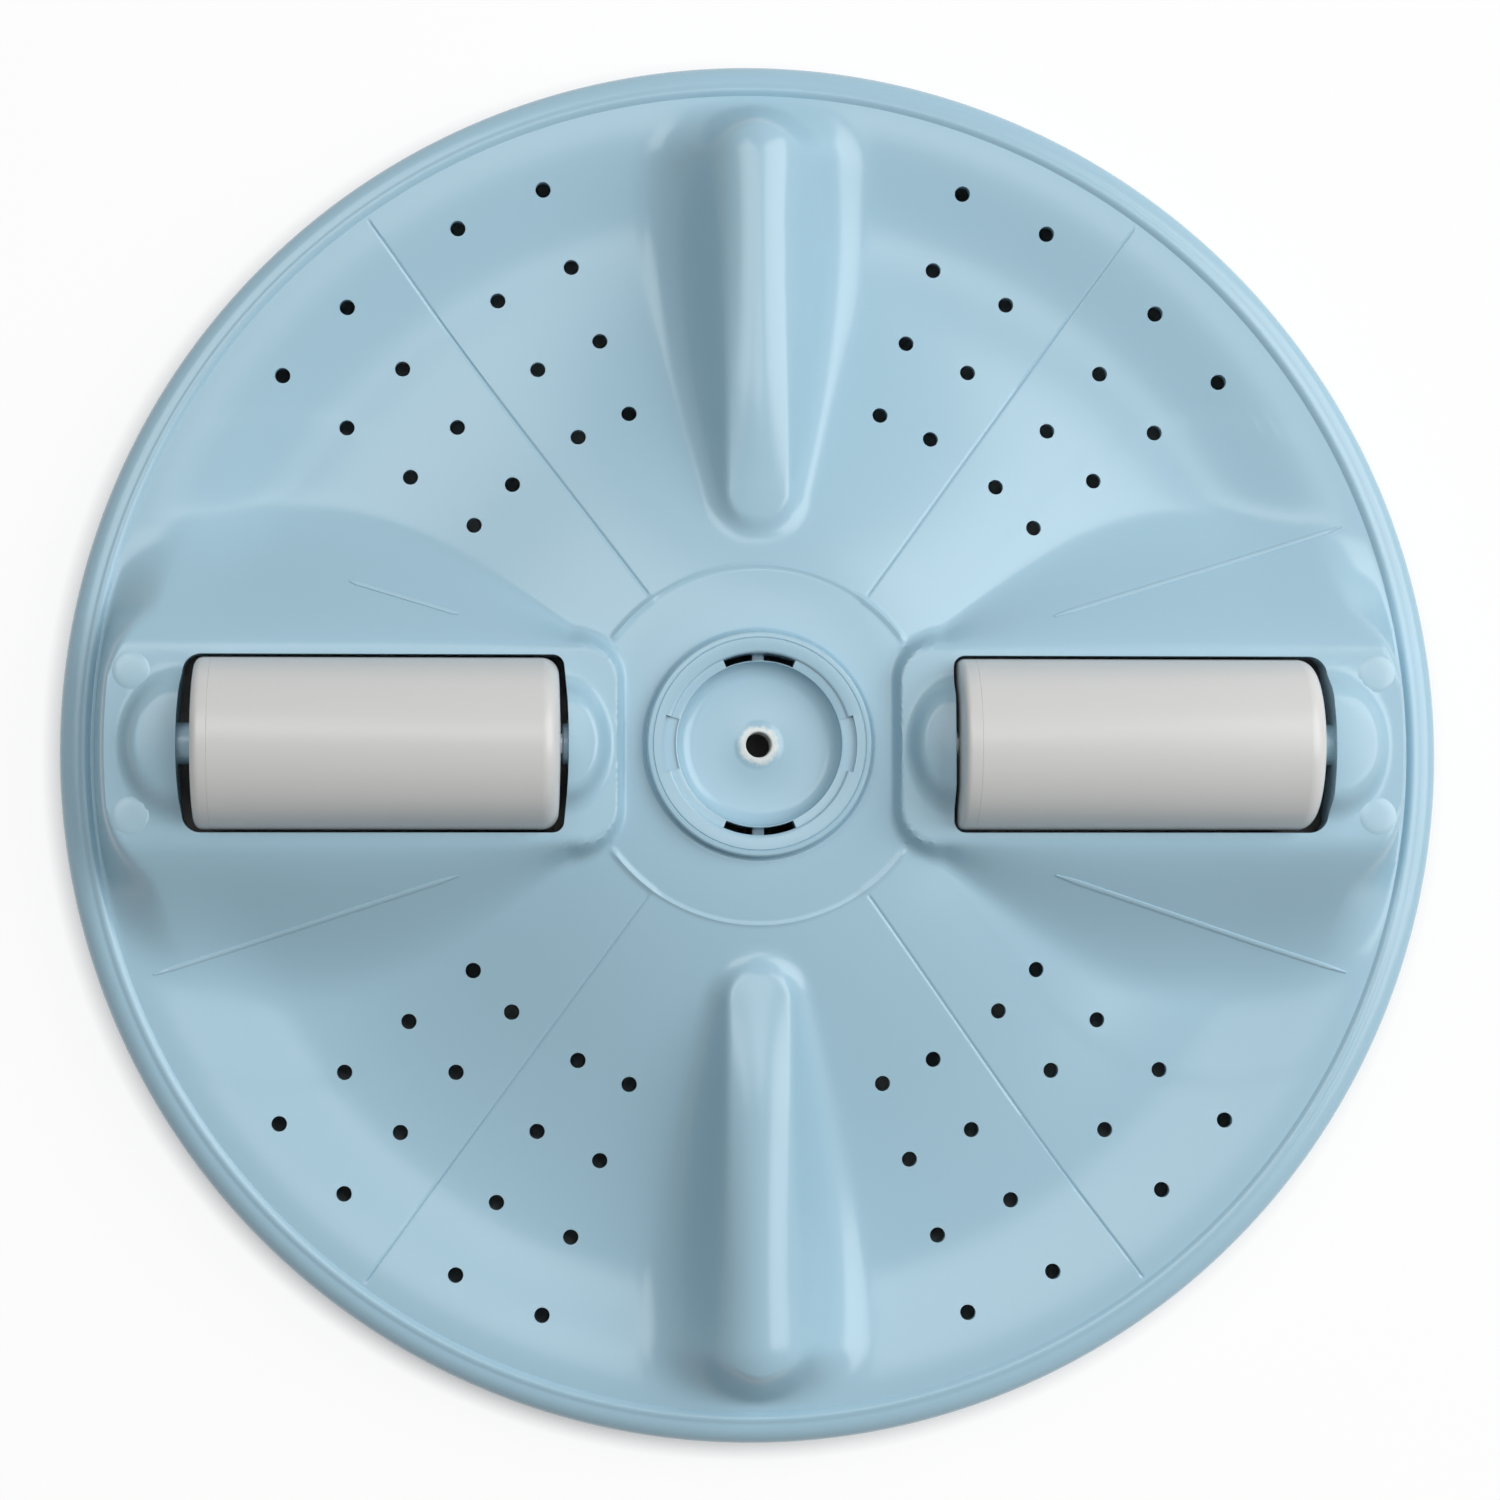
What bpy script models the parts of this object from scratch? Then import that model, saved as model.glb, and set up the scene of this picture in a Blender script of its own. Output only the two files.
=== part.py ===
"""Pulsator of a top-loading washing machine, with two free-turning rollers.

Metres, +Z up. The disc lies as it does in the tub, resting on its skirt at z = 0,
with the drive axis on Z, the rollers along X and the plain ridges along Y.
"""

import math

import bmesh
import bpy
from mathutils import Matrix, Vector

# Disc: the turned form that everything else is raised from
DISC_RADIUS = 0.170
RIM_WIDTH = 0.0078
RIM_Z = 0.0195
LOW_RING_RADIUS = 0.1276
LOW_RING_Z = 0.0143
HUB_Z = 0.0345
WALL = 0.0025

# Raised bead and rounded edge of the rim
BEAD_WIDTH = 0.0028
BEAD_HEIGHT = 0.0011
EDGE_RADIUS = 0.0045

# Hub: collar, cap seat, cap recess and the screw hole of the drive shaft
COLLAR_RADIUS = 0.0274
COLLAR_HEIGHT = 0.0037
COLLAR_CROWN = 0.0042
CAP_SEAT_RADIUS = 0.0223
CAP_SEAT_DEPTH = 0.0009
RECESS_RADIUS = 0.0200
RECESS_DEPTH = 0.0052
RECESS_FILLET = 0.0040
SCREW_HOLE_RADIUS = 0.0031
SCREW_SEAT_RADIUS = 0.0050
SCREW_SEAT_HEIGHT = 0.0005
CAP_SLOT_INNER = 0.0189
CAP_SLOT_OUTER = 0.0221
CAP_SLOT_HALF_ANGLE = math.radians(23.5)
PRY_NOTCH_RADIUS = 0.0238
PRY_NOTCH_HALF_ANGLE = math.radians(17)

# Drive boss under the hub, and the splined steel insert moulded into it
BOSS_RADIUS = 0.0172
BOSS_BOTTOM_Z = 0.0040
INSERT_RADIUS = 0.0125
INSERT_LENGTH = 0.0200
SPLINE_TIP_RADIUS = 0.0075
SPLINE_ROOT_RADIUS = 0.0090
SPLINE_TEETH = 12

# Rollers and the steel pins that they turn on
ROLLER_RADIUS = 0.02075
ROLLER_INNER_X = 0.0481
ROLLER_RIM_LAND = 0.0265
ROLLER_AXIS_Z = 0.0360
ROLLER_DOME_EDGE = 0.0042
ROLLER_CAP_EDGE = 0.0012
ROLLER_CAP_RIM = 0.0040
ROLLER_WALL = 0.0025
ROLLER_HUB_RADIUS = 0.0062
ROLLER_HUB_LENGTH = 0.0140
END_CAP_SPIGOT = 0.0040
ROLLER_SEGMENTS = 32
PIN_RADIUS = 0.0030
PIN_CHAMFER = 0.0005
CLEARANCE = 0.0003

# Windows that the rollers look through
WINDOW_SIDE_GAP = 0.00075
WINDOW_INNER_GAP = 0.0010
WINDOW_OUTER_GAP = 0.0042
WINDOW_INNER_CORNER = 0.0028
WINDOW_OUTER_CORNER = 0.0045
WINDOW_BOW = 0.0012
WINDOW_LIP = 0.0018
WINDOW_LIP_DEPTH = 0.0100

# Roller humps: a level pad with flanks that widen towards the rim
PAD_LIFT = 0.0020
PAD_INNER_LAND = 0.0148
PAD_FLAT_HALF_WIDTH = 0.0250
PAD_CORNER = 0.0130
PAD_END_HALF_WIDTH = 0.0285
PAD_EDGE = 0.0015
FLANK_HALF_WIDTH = 0.0605
FLANK_LENGTH = 0.0660
FLANK_NARROWING = 0.0050
FLANK_CUT = 0.87
FLANK_SKEW = 0.8

# Outer ends of the humps: steep behind the axle, softer towards the flanks
HUMP_RIM_GAP = 0.0010
HUMP_END_SLOPE = 0.0040
HUMP_END_GROWTH = 0.0092
HUMP_END_STEEP_HALF_WIDTH = 0.0140
HUMP_END_GROWTH_WIDTH = 0.0200

# Bulges over the ends of the axles
OUTER_DOME_LENGTH = 0.0139
OUTER_DOME_HALF_WIDTH = 0.0174
OUTER_DOME_HEIGHT = 0.0074
INNER_DOME_LENGTH = 0.0112
INNER_DOME_HALF_WIDTH = 0.0158
INNER_DOME_HEIGHT = 0.0070

# Plain ridges across the disc
RIDGE_START = 0.0510
RIDGE_NOSE_RADIUS = 0.0110
RIDGE_NOSE_HEIGHT = 0.0025
RIDGE_CREST_Z = 0.0372
RIDGE_CREST_HALF_WIDTH = 0.0080
RIDGE_CREST_ARCH = 0.13
RIDGE_HOLLOWNESS = 1.8
RIDGE_FOOT_FAR = 0.0300
RIDGE_RISE_LENGTH = 0.0400
RIDGE_RIM_GAP = 0.0012
RIDGE_END_SLOPE = 0.0085
RIDGE_END_GROWTH = 0.0065
RIDGE_END_GROWTH_WIDTH = 0.0120
RIDGE_NOSE_ANGLE = math.radians(10)

# Axle seats under the pads
STUB_RADIUS = 0.0050
STUB_GAP = 0.0004
BEARING_RADIUS = 0.0065
BEARING_DEPTH = 0.0073
CRADLE_THICKNESS = 0.0039
CRADLE_HALF_WIDTH = 0.0155
CRADLE_BOTTOM_Z = 0.0268
PIN_OVERHANG = 0.0037

# Retainers screwed under the outer ends of the pins
RETAINER_THICKNESS = 0.0030
RETAINER_EAR_RADIUS = 0.0045
RETAINER_TONGUE_HALF_WIDTH = 0.0080
RETAINER_STOP_THICKNESS = 0.0020
RETAINER_STOP_HALF_WIDTH = 0.0060
SCREW_SETBACK = 0.0110
SCREW_HALF_SPACING = 0.0174
SCREW_BOSS_RADIUS = 0.0045
SCREW_BOSS_LIFT = 0.0004
SCREW_SHANK_RADIUS = 0.00175
SCREW_HEAD_RADIUS = 0.0035
SCREW_HEAD_TOP_RADIUS = 0.0021
SCREW_HEAD_HEIGHT = 0.0022
SCREW_HEAD_EDGE = 0.0008
SCREW_POINT = 0.0025
SCREW_LENGTH = 0.0120
PILOT_COVER = 0.0018

# Ribs under the disc
RIB_THICKNESS = 0.0022
RIB_BOTTOM_Z = 0.0050
RIB_ANGLES = (53.8, 90.0, 126.2, 233.8, 270.0, 306.2)
HUB_RING_RADIUS = 0.0437

# Raised arcs round the hub, between the roller humps
ARC_BEAD_RADIUS = 0.0437
ARC_BEAD_WIDTH = 0.0020
ARC_BEAD_HEIGHT = 0.0005
ARC_BEAD_HALF_ANGLE = math.radians(54.5)

# Drain holes: rings by rows, the same in each quarter
HOLE_RADIUS = 0.0019
HOLE_FIRST_RING = 0.088
HOLE_RING_PITCH = 0.020
HOLE_RING_COUNT = 4
HOLE_ROWS = (38.3, 47.3, 60.35, 69.35)

# Levels and places worked out from the sizes above
RIM_FOOT_RADIUS = DISC_RADIUS - RIM_WIDTH
COLLAR_TOP_Z = HUB_Z + COLLAR_HEIGHT
CAP_SEAT_Z = COLLAR_TOP_Z - CAP_SEAT_DEPTH
RECESS_FLOOR_Z = COLLAR_TOP_Z - RECESS_DEPTH
PAD_Z = ROLLER_AXIS_Z + PAD_LIFT
ROLLER_OUTER_X = RIM_FOOT_RADIUS - ROLLER_RIM_LAND
ROLLER_LENGTH = ROLLER_OUTER_X - ROLLER_INNER_X
ROLLER_CENTRE_X = (ROLLER_INNER_X + ROLLER_OUTER_X) / 2
WINDOW_INNER_X = ROLLER_INNER_X - WINDOW_INNER_GAP
WINDOW_OUTER_X = ROLLER_OUTER_X + WINDOW_OUTER_GAP
WINDOW_HALF_WIDTH = ROLLER_RADIUS + WINDOW_SIDE_GAP
PAD_INNER_X = WINDOW_INNER_X - PAD_INNER_LAND
HUMP_END_RADIUS = RIM_FOOT_RADIUS - HUMP_RIM_GAP
RIDGE_END_RADIUS = RIM_FOOT_RADIUS - RIDGE_RIM_GAP
PIN_INNER_X = WINDOW_INNER_X - BEARING_DEPTH + CLEARANCE
CRADLE_OUTER_X = WINDOW_OUTER_X + CRADLE_THICKNESS
PIN_OUTER_X = CRADLE_OUTER_X + PIN_OVERHANG
SCREW_X = WINDOW_OUTER_X + SCREW_SETBACK
RETAINER_TOP_Z = CRADLE_BOTTOM_Z - CLEARANCE
RETAINER_BOTTOM_Z = RETAINER_TOP_Z - RETAINER_THICKNESS
BORE_RADIUS = PIN_RADIUS + CLEARANCE

# Reach of cutters past the faces that they open, and the levels between which forms are raised
REACH = 0.0050
FORM_TOP_Z = ROLLER_AXIS_Z + ROLLER_RADIUS + REACH
FORM_BOTTOM_Z = LOW_RING_Z / 2
FOOT_SINK = 0.0003
FOOT_RUN = 0.0020

# How far a flank moves sideways, as a share of the wall, when its form is lowered by the wall
FLANK_INSET = 0.42

# Shares of the half-width of a hump's pad and of a ridge's crest at which their sections have points
PAD_SHARES = (0.72, 1.0)
CREST_SHARES = (0.3, 0.72, 1.0)

# Facets: round the disc, its core and smaller circles, and steps along and down the raised forms
DISC_SEGMENTS = 60
DISH_STEPS = 7
CORE_SEGMENTS = 36
CORE_STEPS = 4
LARGE_ROUND = 36
MIDDLE_ROUND = 24
SMALL_ROUND = 14
TINY_ROUND = 10
HOLE_SIDES = 8
SLOT_STEPS = 6
NOTCH_STEPS = 4
CORNER_STEPS = 4
NOSE_STEPS = 3
SLOPE_STEPS = 4
FORM_STEPS = 6
FLANK_STEPS = 4
CORE_FORM_STEPS = 3
CORE_FLANK_STEPS = 3
END_STEPS = 5
CORE_END_STEPS = 4
BEAD_STEPS = 10

# Nested turned forms start this many facets apart, so that none of their edges coincide
CORE_PHASE = 0.3
RING_PHASE = 0.2
RECESS_PHASE = 0.4

# Points closer than this are one point, and facets nearer than this to one plane are one face
MERGE = 0.00002
FLAT_ANGLE = math.radians(1.7)


def clear_scene():
    """Remove whatever the open file holds."""
    for item in list(bpy.data.objects):
        bpy.data.objects.remove(item, do_unlink=True)


def ease(share):
    """Smooth rise from 0 to 1, level at both ends."""
    share = min(max(share, 0.0), 1.0)
    return 0.5 - 0.5 * math.cos(math.pi * share)


def hump_flank(share):
    """Height left down a hump's flank: level at its top, still falling at its foot."""
    share = min(max(share, 0.0), 1.0) ** FLANK_SKEW
    return 1.0 - ease(FLANK_CUT * share) / ease(FLANK_CUT)


def ridge_flank(share):
    """Height left down a ridge's flank: steep beside the crest, level at its foot."""
    return (1.0 - min(max(share, 0.0), 1.0)) ** RIDGE_HOLLOWNESS


def arc_points(centre_x, centre_y, radius, start, end, steps):
    """Points along an arc, both ends included."""
    points = []
    for index in range(steps + 1):
        angle = start + (end - start) * index / steps
        points.append((centre_x + radius * math.cos(angle), centre_y + radius * math.sin(angle)))
    return points


def as_object(name, bm):
    """Turn a bmesh into an object with its faces pointing out."""
    bmesh.ops.remove_doubles(bm, verts=bm.verts, dist=1e-6)
    bmesh.ops.recalc_face_normals(bm, faces=bm.faces)
    mesh = bpy.data.meshes.new(name)
    bm.to_mesh(mesh)
    bm.free()
    item = bpy.data.objects.new(name, mesh)
    bpy.context.scene.collection.objects.link(item)
    return item


def turned(name, profile, segments, phase=0.0):
    """Spin a closed (radius, z) profile round the Z axis, its first edge a share of a segment on."""
    start = 2 * math.pi * phase / segments
    bm = bmesh.new()
    ring = [bm.verts.new((r * math.cos(start), r * math.sin(start), z)) for r, z in profile]
    edges = []
    for index, after in enumerate(ring):
        if profile[index - 1][0] > 0 or profile[index][0] > 0:
            edges.append(bm.edges.new((ring[index - 1], after)))
    bmesh.ops.spin(
        bm, geom=ring + edges, axis=(0, 0, 1), cent=(0, 0, 0),
        angle=2 * math.pi, steps=segments, use_merge=True,
    )
    bmesh.ops.dissolve_degenerate(bm, dist=1e-6, edges=bm.edges)
    return as_object(name, bm)


def prism(name, outline, bottom, top):
    """Extrude an outline in X and Y from one level to another."""
    bm = bmesh.new()
    base = bm.faces.new([bm.verts.new((x, y, bottom)) for x, y in outline])
    lifted = bmesh.ops.extrude_face_region(bm, geom=[base])["geom"]
    verts = [part for part in lifted if isinstance(part, bmesh.types.BMVert)]
    bmesh.ops.translate(bm, verts=verts, vec=(0, 0, top - bottom))
    return as_object(name, bm)


def lofted(name, sections):
    """Skin a row of closed sections that have as many points each, and cap the ends."""
    bm = bmesh.new()
    rings = [[bm.verts.new(point) for point in section] for section in sections]
    count = len(rings[0])
    for near, far in zip(rings, rings[1:]):
        for index in range(count):
            after = (index + 1) % count
            bm.faces.new((near[index], near[after], far[after], far[index]))
    bm.faces.new(rings[0])
    bm.faces.new(rings[-1])
    return as_object(name, bm)


def block(name, low, high):
    """Box between two corners."""
    outline = [(low[0], low[1]), (high[0], low[1]), (high[0], high[1]), (low[0], high[1])]
    return prism(name, outline, low[2], high[2])


def rod_along_x(name, radius, start, end, z, sides):
    """Round bar parallel to the X axis."""
    bm = bmesh.new()
    place = Matrix.Translation(((start + end) / 2, 0, z)) @ Matrix.Rotation(math.pi / 2, 4, "Y")
    bmesh.ops.create_cone(
        bm, cap_ends=True, segments=sides, radius1=radius, radius2=radius,
        depth=end - start, matrix=place,
    )
    return as_object(name, bm)


def rod_along_z(name, radius, x, y, bottom, top, sides):
    """Upright round bar."""
    return prism(name, arc_points(x, y, radius, 0, 2 * math.pi, sides)[:-1], bottom, top)


def ellipsoid(name, centre, radii, segments, rings):
    """Ball stretched to three half-lengths."""
    bm = bmesh.new()
    place = Matrix.Translation(centre) @ Matrix.Diagonal((*radii, 1))
    bmesh.ops.create_uvsphere(bm, u_segments=segments, v_segments=rings, radius=1, matrix=place)
    return as_object(name, bm)


def sector(name, inner, outer, middle, half_angle, bottom, top, steps):
    """Part of a flat ring, centred on one direction."""
    low = middle - half_angle
    high = middle + half_angle
    outline = arc_points(0, 0, inner, low, high, steps) + arc_points(0, 0, outer, high, low, steps)
    return prism(name, outline, bottom, top)


def combine(target, tools, operation):
    """Join, cut or intersect a solid with one or more others, and use those up."""
    group = bpy.data.collections.new(operation.lower())
    for tool in tools:
        group.objects.link(tool)
    modifier = target.modifiers.new(operation.lower(), "BOOLEAN")
    modifier.operation = operation
    modifier.solver = "EXACT"
    modifier.operand_type = "COLLECTION"
    modifier.collection = group
    graph = bpy.context.evaluated_depsgraph_get()
    mesh = bpy.data.meshes.new_from_object(target.evaluated_get(graph))
    target.modifiers.remove(modifier)
    bm = bmesh.new()
    bm.from_mesh(mesh)
    bmesh.ops.remove_doubles(bm, verts=bm.verts, dist=MERGE)
    bmesh.ops.dissolve_degenerate(bm, dist=MERGE, edges=bm.edges)
    bm.to_mesh(mesh)
    bm.free()
    target.data = mesh
    for tool in tools:
        bpy.data.objects.remove(tool, do_unlink=True)
    bpy.data.collections.remove(group)


def turn(item, angle):
    """Turn a solid about the drive axis, mesh and all."""
    item.data.transform(Matrix.Rotation(angle, 4, "Z"))
    return item


def dish_z(radius):
    """Height of the dished top, clear of the humps and ridges."""
    if radius < LOW_RING_RADIUS:
        share = (LOW_RING_RADIUS - radius) / (LOW_RING_RADIUS - COLLAR_RADIUS)
        return LOW_RING_Z + (HUB_Z - LOW_RING_Z) * ease(share)
    share = (radius - LOW_RING_RADIUS) / (RIM_FOOT_RADIUS - LOW_RING_RADIUS)
    return LOW_RING_Z + (RIM_Z - LOW_RING_Z) * ease(share)


def dish_points(inset, steps):
    """The dish from the collar to the rim bead, lowered by a wall."""
    points = []
    for index in range(steps + 1):
        radius = COLLAR_RADIUS + (RIM_FOOT_RADIUS - COLLAR_RADIUS) * index / steps
        points.append((radius, dish_z(radius) - inset))
    return points


def disc_form():
    """Outside of the disc, as one turned solid down to the skirt's edge."""
    profile = [(0, 0), (0, COLLAR_TOP_Z)]
    for index in range(3):
        angle = math.pi / 2 * (1 - index / 3)
        radius = COLLAR_RADIUS - COLLAR_CROWN * (1 - math.cos(angle))
        profile.append((radius, HUB_Z + COLLAR_HEIGHT * math.sin(angle)))
    profile += dish_points(0, DISH_STEPS)
    bead_slope = BEAD_HEIGHT / 2
    profile.append((RIM_FOOT_RADIUS + bead_slope, RIM_Z + BEAD_HEIGHT))
    profile.append((RIM_FOOT_RADIUS + BEAD_WIDTH - bead_slope, RIM_Z + BEAD_HEIGHT))
    profile += arc_points(
        DISC_RADIUS - EDGE_RADIUS, RIM_Z + bead_slope - EDGE_RADIUS, EDGE_RADIUS, math.pi / 2, 0, 3
    )
    profile.append((DISC_RADIUS, 0))
    return turned("disc form", profile, DISC_SEGMENTS)


def core_form():
    """Inside of the disc, one wall below its outside and open at the bottom."""
    edge = EDGE_RADIUS - WALL / 2
    profile = [(0, -REACH), (0, RECESS_FLOOR_Z - WALL)]
    profile.append((RECESS_RADIUS + WALL, RECESS_FLOOR_Z - WALL))
    profile += dish_points(WALL, CORE_STEPS)
    profile += arc_points(
        DISC_RADIUS - WALL - edge, RIM_Z - WALL - edge, edge, math.pi / 2, 0, 2
    )
    profile.append((DISC_RADIUS - WALL, -REACH))
    return turned("core form", profile, CORE_SEGMENTS, CORE_PHASE)


def raised_section(half):
    """Close half of a raised section, from its top to its foot, into a loop of (across, z)."""
    foot = half[-1][0]
    left = [(-across, z) for across, z in reversed(half)]
    return [(-foot, FORM_BOTTOM_Z)] + left + half + [(foot, FORM_BOTTOM_Z)]


def raised_line(shares, crest, foot, top_z, arch, flank, ground, steps):
    """Half of a raised section: (across, z) along its arched top and down its flank.

    The ground gives the level under any point across and the share of the height left there.
    """
    line = []
    for share in shares:
        level, left = ground(crest * share)
        line.append((crest * share, level + (top_z - level) * left * (1 - arch * share ** 2)))
    for index in range(1, steps + 1):
        across = crest + (foot - crest) * index / steps
        level, left = ground(across)
        line.append((across, level + (top_z - level) * left * (1 - arch) * flank(index / steps)))
    line.append((foot + FOOT_RUN, line[-1][1] - FOOT_RUN))
    return line


def end_share(radius, foot, slope):
    """Height left on the slope that ends a raised form at the rim."""
    return 1 - ease((radius - foot + slope) / slope)


def hump_end_slope(across):
    """Length of the slope at the outer end of a hump."""
    growth = (across - HUMP_END_STEEP_HALF_WIDTH) / HUMP_END_GROWTH_WIDTH
    return HUMP_END_SLOPE + HUMP_END_GROWTH * min(max(growth, 0), 1) ** 2


def ridge_end_slope(across):
    """Length of the slope at the outer end of a ridge."""
    return RIDGE_END_SLOPE + RIDGE_END_GROWTH * min(across / RIDGE_END_GROWTH_WIDTH, 1) ** 1.5


def end_stations(start, end, steps):
    """Places along a raised form's outer end, closer together towards the rim."""
    return [start + (end - start) * math.sin(math.pi / 2 * index / steps) for index in range(1, steps + 1)]


def hump_widths(x, inset):
    """Half-widths of a hump at its pad and at its foot, x from the drive axis."""
    corner = PAD_CORNER - inset
    corner_end = PAD_INNER_X + PAD_CORNER
    foot = PAD_END_HALF_WIDTH - FLANK_INSET * inset
    if x < corner_end:
        foot += math.sqrt(max(corner ** 2 - (corner_end - x) ** 2, 0)) - corner
    else:
        share = (x - corner_end) / FLANK_LENGTH
        foot += (FLANK_HALF_WIDTH - PAD_END_HALF_WIDTH) * math.sin(math.pi / 2 * min(share, 1))
        narrowing = (x - corner_end - FLANK_LENGTH) / (RIM_FOOT_RADIUS - corner_end - FLANK_LENGTH)
        foot -= 2 * FLANK_NARROWING * max(narrowing, 0) ** 2
        foot = min(foot, math.sqrt((RIM_FOOT_RADIUS - inset) ** 2 - x ** 2))
    return min(PAD_FLAT_HALF_WIDTH - FLANK_INSET * inset, foot - PAD_EDGE), foot


def hump_form(inset, steps, flank_steps, end_steps):
    """One roller hump on +X, from its rounded inner corners to the slope at the rim."""
    corner = PAD_CORNER - inset
    corner_end = PAD_INNER_X + PAD_CORNER
    end = HUMP_END_RADIUS - inset
    slope_start = end - HUMP_END_SLOPE - HUMP_END_GROWTH
    angles = [math.pi / 2 * index / CORNER_STEPS for index in range(CORNER_STEPS)]
    stations = [corner_end - corner * math.cos(angle) for angle in angles]
    stations += [corner_end + (slope_start - corner_end) * index / steps for index in range(steps + 1)]
    stations += end_stations(slope_start, end, end_steps)
    sections = []
    for x in stations:
        def ground(across):
            radius = math.hypot(x, across)
            return dish_z(radius) - inset - FOOT_SINK, end_share(radius, end, hump_end_slope(across))

        pad, foot = hump_widths(x, inset)
        line = raised_line(
            PAD_SHARES, pad, foot, PAD_Z - inset, 0, hump_flank, ground, flank_steps
        )
        sections.append([(x, across, z) for across, z in raised_section(line)])
    return lofted("hump form", sections)


def dome_forms(inset, segments, rings):
    """Bulges of a hump over the ends of its axle; the inner one is solid behind its bearing."""
    places = [(WINDOW_OUTER_X, (OUTER_DOME_LENGTH, OUTER_DOME_HALF_WIDTH, OUTER_DOME_HEIGHT))]
    if inset == 0:
        places.append((WINDOW_INNER_X, (INNER_DOME_LENGTH, INNER_DOME_HALF_WIDTH, INNER_DOME_HEIGHT)))
    domes = []
    for x, radii in places:
        reduced = [radius - inset for radius in radii]
        domes.append(ellipsoid("dome form", (x, 0, PAD_Z), reduced, segments, rings))
    return domes


def ridge_form(inset, steps, flank_steps, end_steps):
    """One plain ridge, drawn along +Y with its nose towards the hub."""
    nose = RIDGE_NOSE_RADIUS - inset
    nose_end = RIDGE_START + RIDGE_NOSE_RADIUS
    end = RIDGE_END_RADIUS - inset
    slope_start = end - RIDGE_END_SLOPE - RIDGE_END_GROWTH
    nose_turn = math.pi / 2 - RIDGE_NOSE_ANGLE
    angles = [RIDGE_NOSE_ANGLE + nose_turn * index / NOSE_STEPS for index in range(NOSE_STEPS)]
    stations = [nose_end - nose * math.cos(angle) for angle in angles]
    stations += [nose_end + (slope_start - nose_end) * index / steps for index in range(steps + 1)]
    stations += end_stations(slope_start, end, end_steps)
    nose_z = dish_z(RIDGE_START) + RIDGE_NOSE_HEIGHT
    sections = []
    for y in stations:
        crest_z = nose_z + (RIDGE_CREST_Z - nose_z) * ease((y - RIDGE_START) / RIDGE_RISE_LENGTH)

        def ground(across):
            radius = math.hypot(y, across)
            level = min(dish_z(radius) - FOOT_SINK, crest_z)
            return level - inset, end_share(radius, end, ridge_end_slope(across))

        rounding = math.sqrt(1 - (max(nose_end - y, 0) / nose) ** 2)
        crest = (RIDGE_CREST_HALF_WIDTH - FLANK_INSET * inset) * rounding
        foot = (RIDGE_NOSE_RADIUS - FLANK_INSET * inset) * rounding
        growth = math.sin(math.pi / 2 * min(max((y - nose_end) / (RIDGE_END_RADIUS - nose_end), 0), 1))
        foot += (RIDGE_FOOT_FAR - RIDGE_NOSE_RADIUS) * growth
        line = raised_line(
            CREST_SHARES, crest, foot, crest_z - inset, RIDGE_CREST_ARCH, ridge_flank, ground, flank_steps
        )
        sections.append([(-across, y, z) for across, z in raised_section(line)])
    return lofted("ridge form", sections)


def raise_forms(body, inset, steps, flank_steps, end_steps):
    """Add both humps and both ridges to a turned body."""
    forms = []
    for side in (0, math.pi):
        forms.append(turn(hump_form(inset, steps, flank_steps, end_steps), side))
        forms.append(turn(ridge_form(inset, steps, flank_steps, end_steps), side))
        for dome in dome_forms(inset, 4 * flank_steps, 2 * flank_steps):
            forms.append(turn(dome, side))
    combine(body, forms, "UNION")


def window_outline(margin):
    """Rounded window with a bowed outer end, grown by a margin."""
    low = WINDOW_INNER_X - margin
    high = WINDOW_OUTER_X + margin - WINDOW_BOW
    half = WINDOW_HALF_WIDTH + margin
    near = WINDOW_INNER_CORNER
    far = WINDOW_OUTER_CORNER
    outline = arc_points(low + near, -half + near, near, math.pi, 1.5 * math.pi, 3)
    outline += arc_points(high - far, -half + far, far, -math.pi / 2, 0, 3)
    for share in (-0.5, 0, 0.5):
        outline.append((high + WINDOW_BOW * (1 - share ** 2), (half - far) * share))
    outline += arc_points(high - far, half - far, far, 0, math.pi / 2, 3)
    outline += arc_points(low + near, half - near, near, math.pi / 2, math.pi, 3)
    return outline


def stubs():
    """Bearing stubs that reach through the window's ends and centre the roller."""
    spans = (
        (WINDOW_INNER_X - WALL, ROLLER_INNER_X - STUB_GAP),
        (ROLLER_OUTER_X + STUB_GAP, CRADLE_OUTER_X - WALL / 2),
    )
    return [
        rod_along_x("stub", STUB_RADIUS, start, end, ROLLER_AXIS_Z, SMALL_ROUND)
        for start, end in spans
    ]


def side_fillings():
    """Lips, axle seats and screw bosses that stand in the hollow of one hump."""
    fillings = stubs()
    fillings.append(
        prism("window lip", window_outline(WINDOW_LIP), PAD_Z - WINDOW_LIP_DEPTH, FORM_TOP_Z)
    )
    fillings.append(
        rod_along_x(
            "inner bearing", BEARING_RADIUS, PIN_INNER_X - WALL, WINDOW_INNER_X + WINDOW_LIP / 2,
            ROLLER_AXIS_Z, SMALL_ROUND,
        )
    )
    fillings.append(
        block(
            "cradle",
            (WINDOW_OUTER_X - WINDOW_BOW, -CRADLE_HALF_WIDTH, CRADLE_BOTTOM_Z),
            (CRADLE_OUTER_X, CRADLE_HALF_WIDTH, FORM_TOP_Z),
        )
    )
    for y in (-SCREW_HALF_SPACING, SCREW_HALF_SPACING):
        fillings.append(
            rod_along_z(
                "screw boss", SCREW_BOSS_RADIUS, SCREW_X, y, CRADLE_BOTTOM_Z, FORM_TOP_Z, SMALL_ROUND
            )
        )
    fillings.append(
        block(
            "bearing web",
            (BOSS_RADIUS / 2, -RIB_THICKNESS / 2, RIB_BOTTOM_Z),
            (WINDOW_INNER_X + WINDOW_LIP / 2, RIB_THICKNESS / 2, ROLLER_AXIS_Z),
        )
    )
    return fillings


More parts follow.
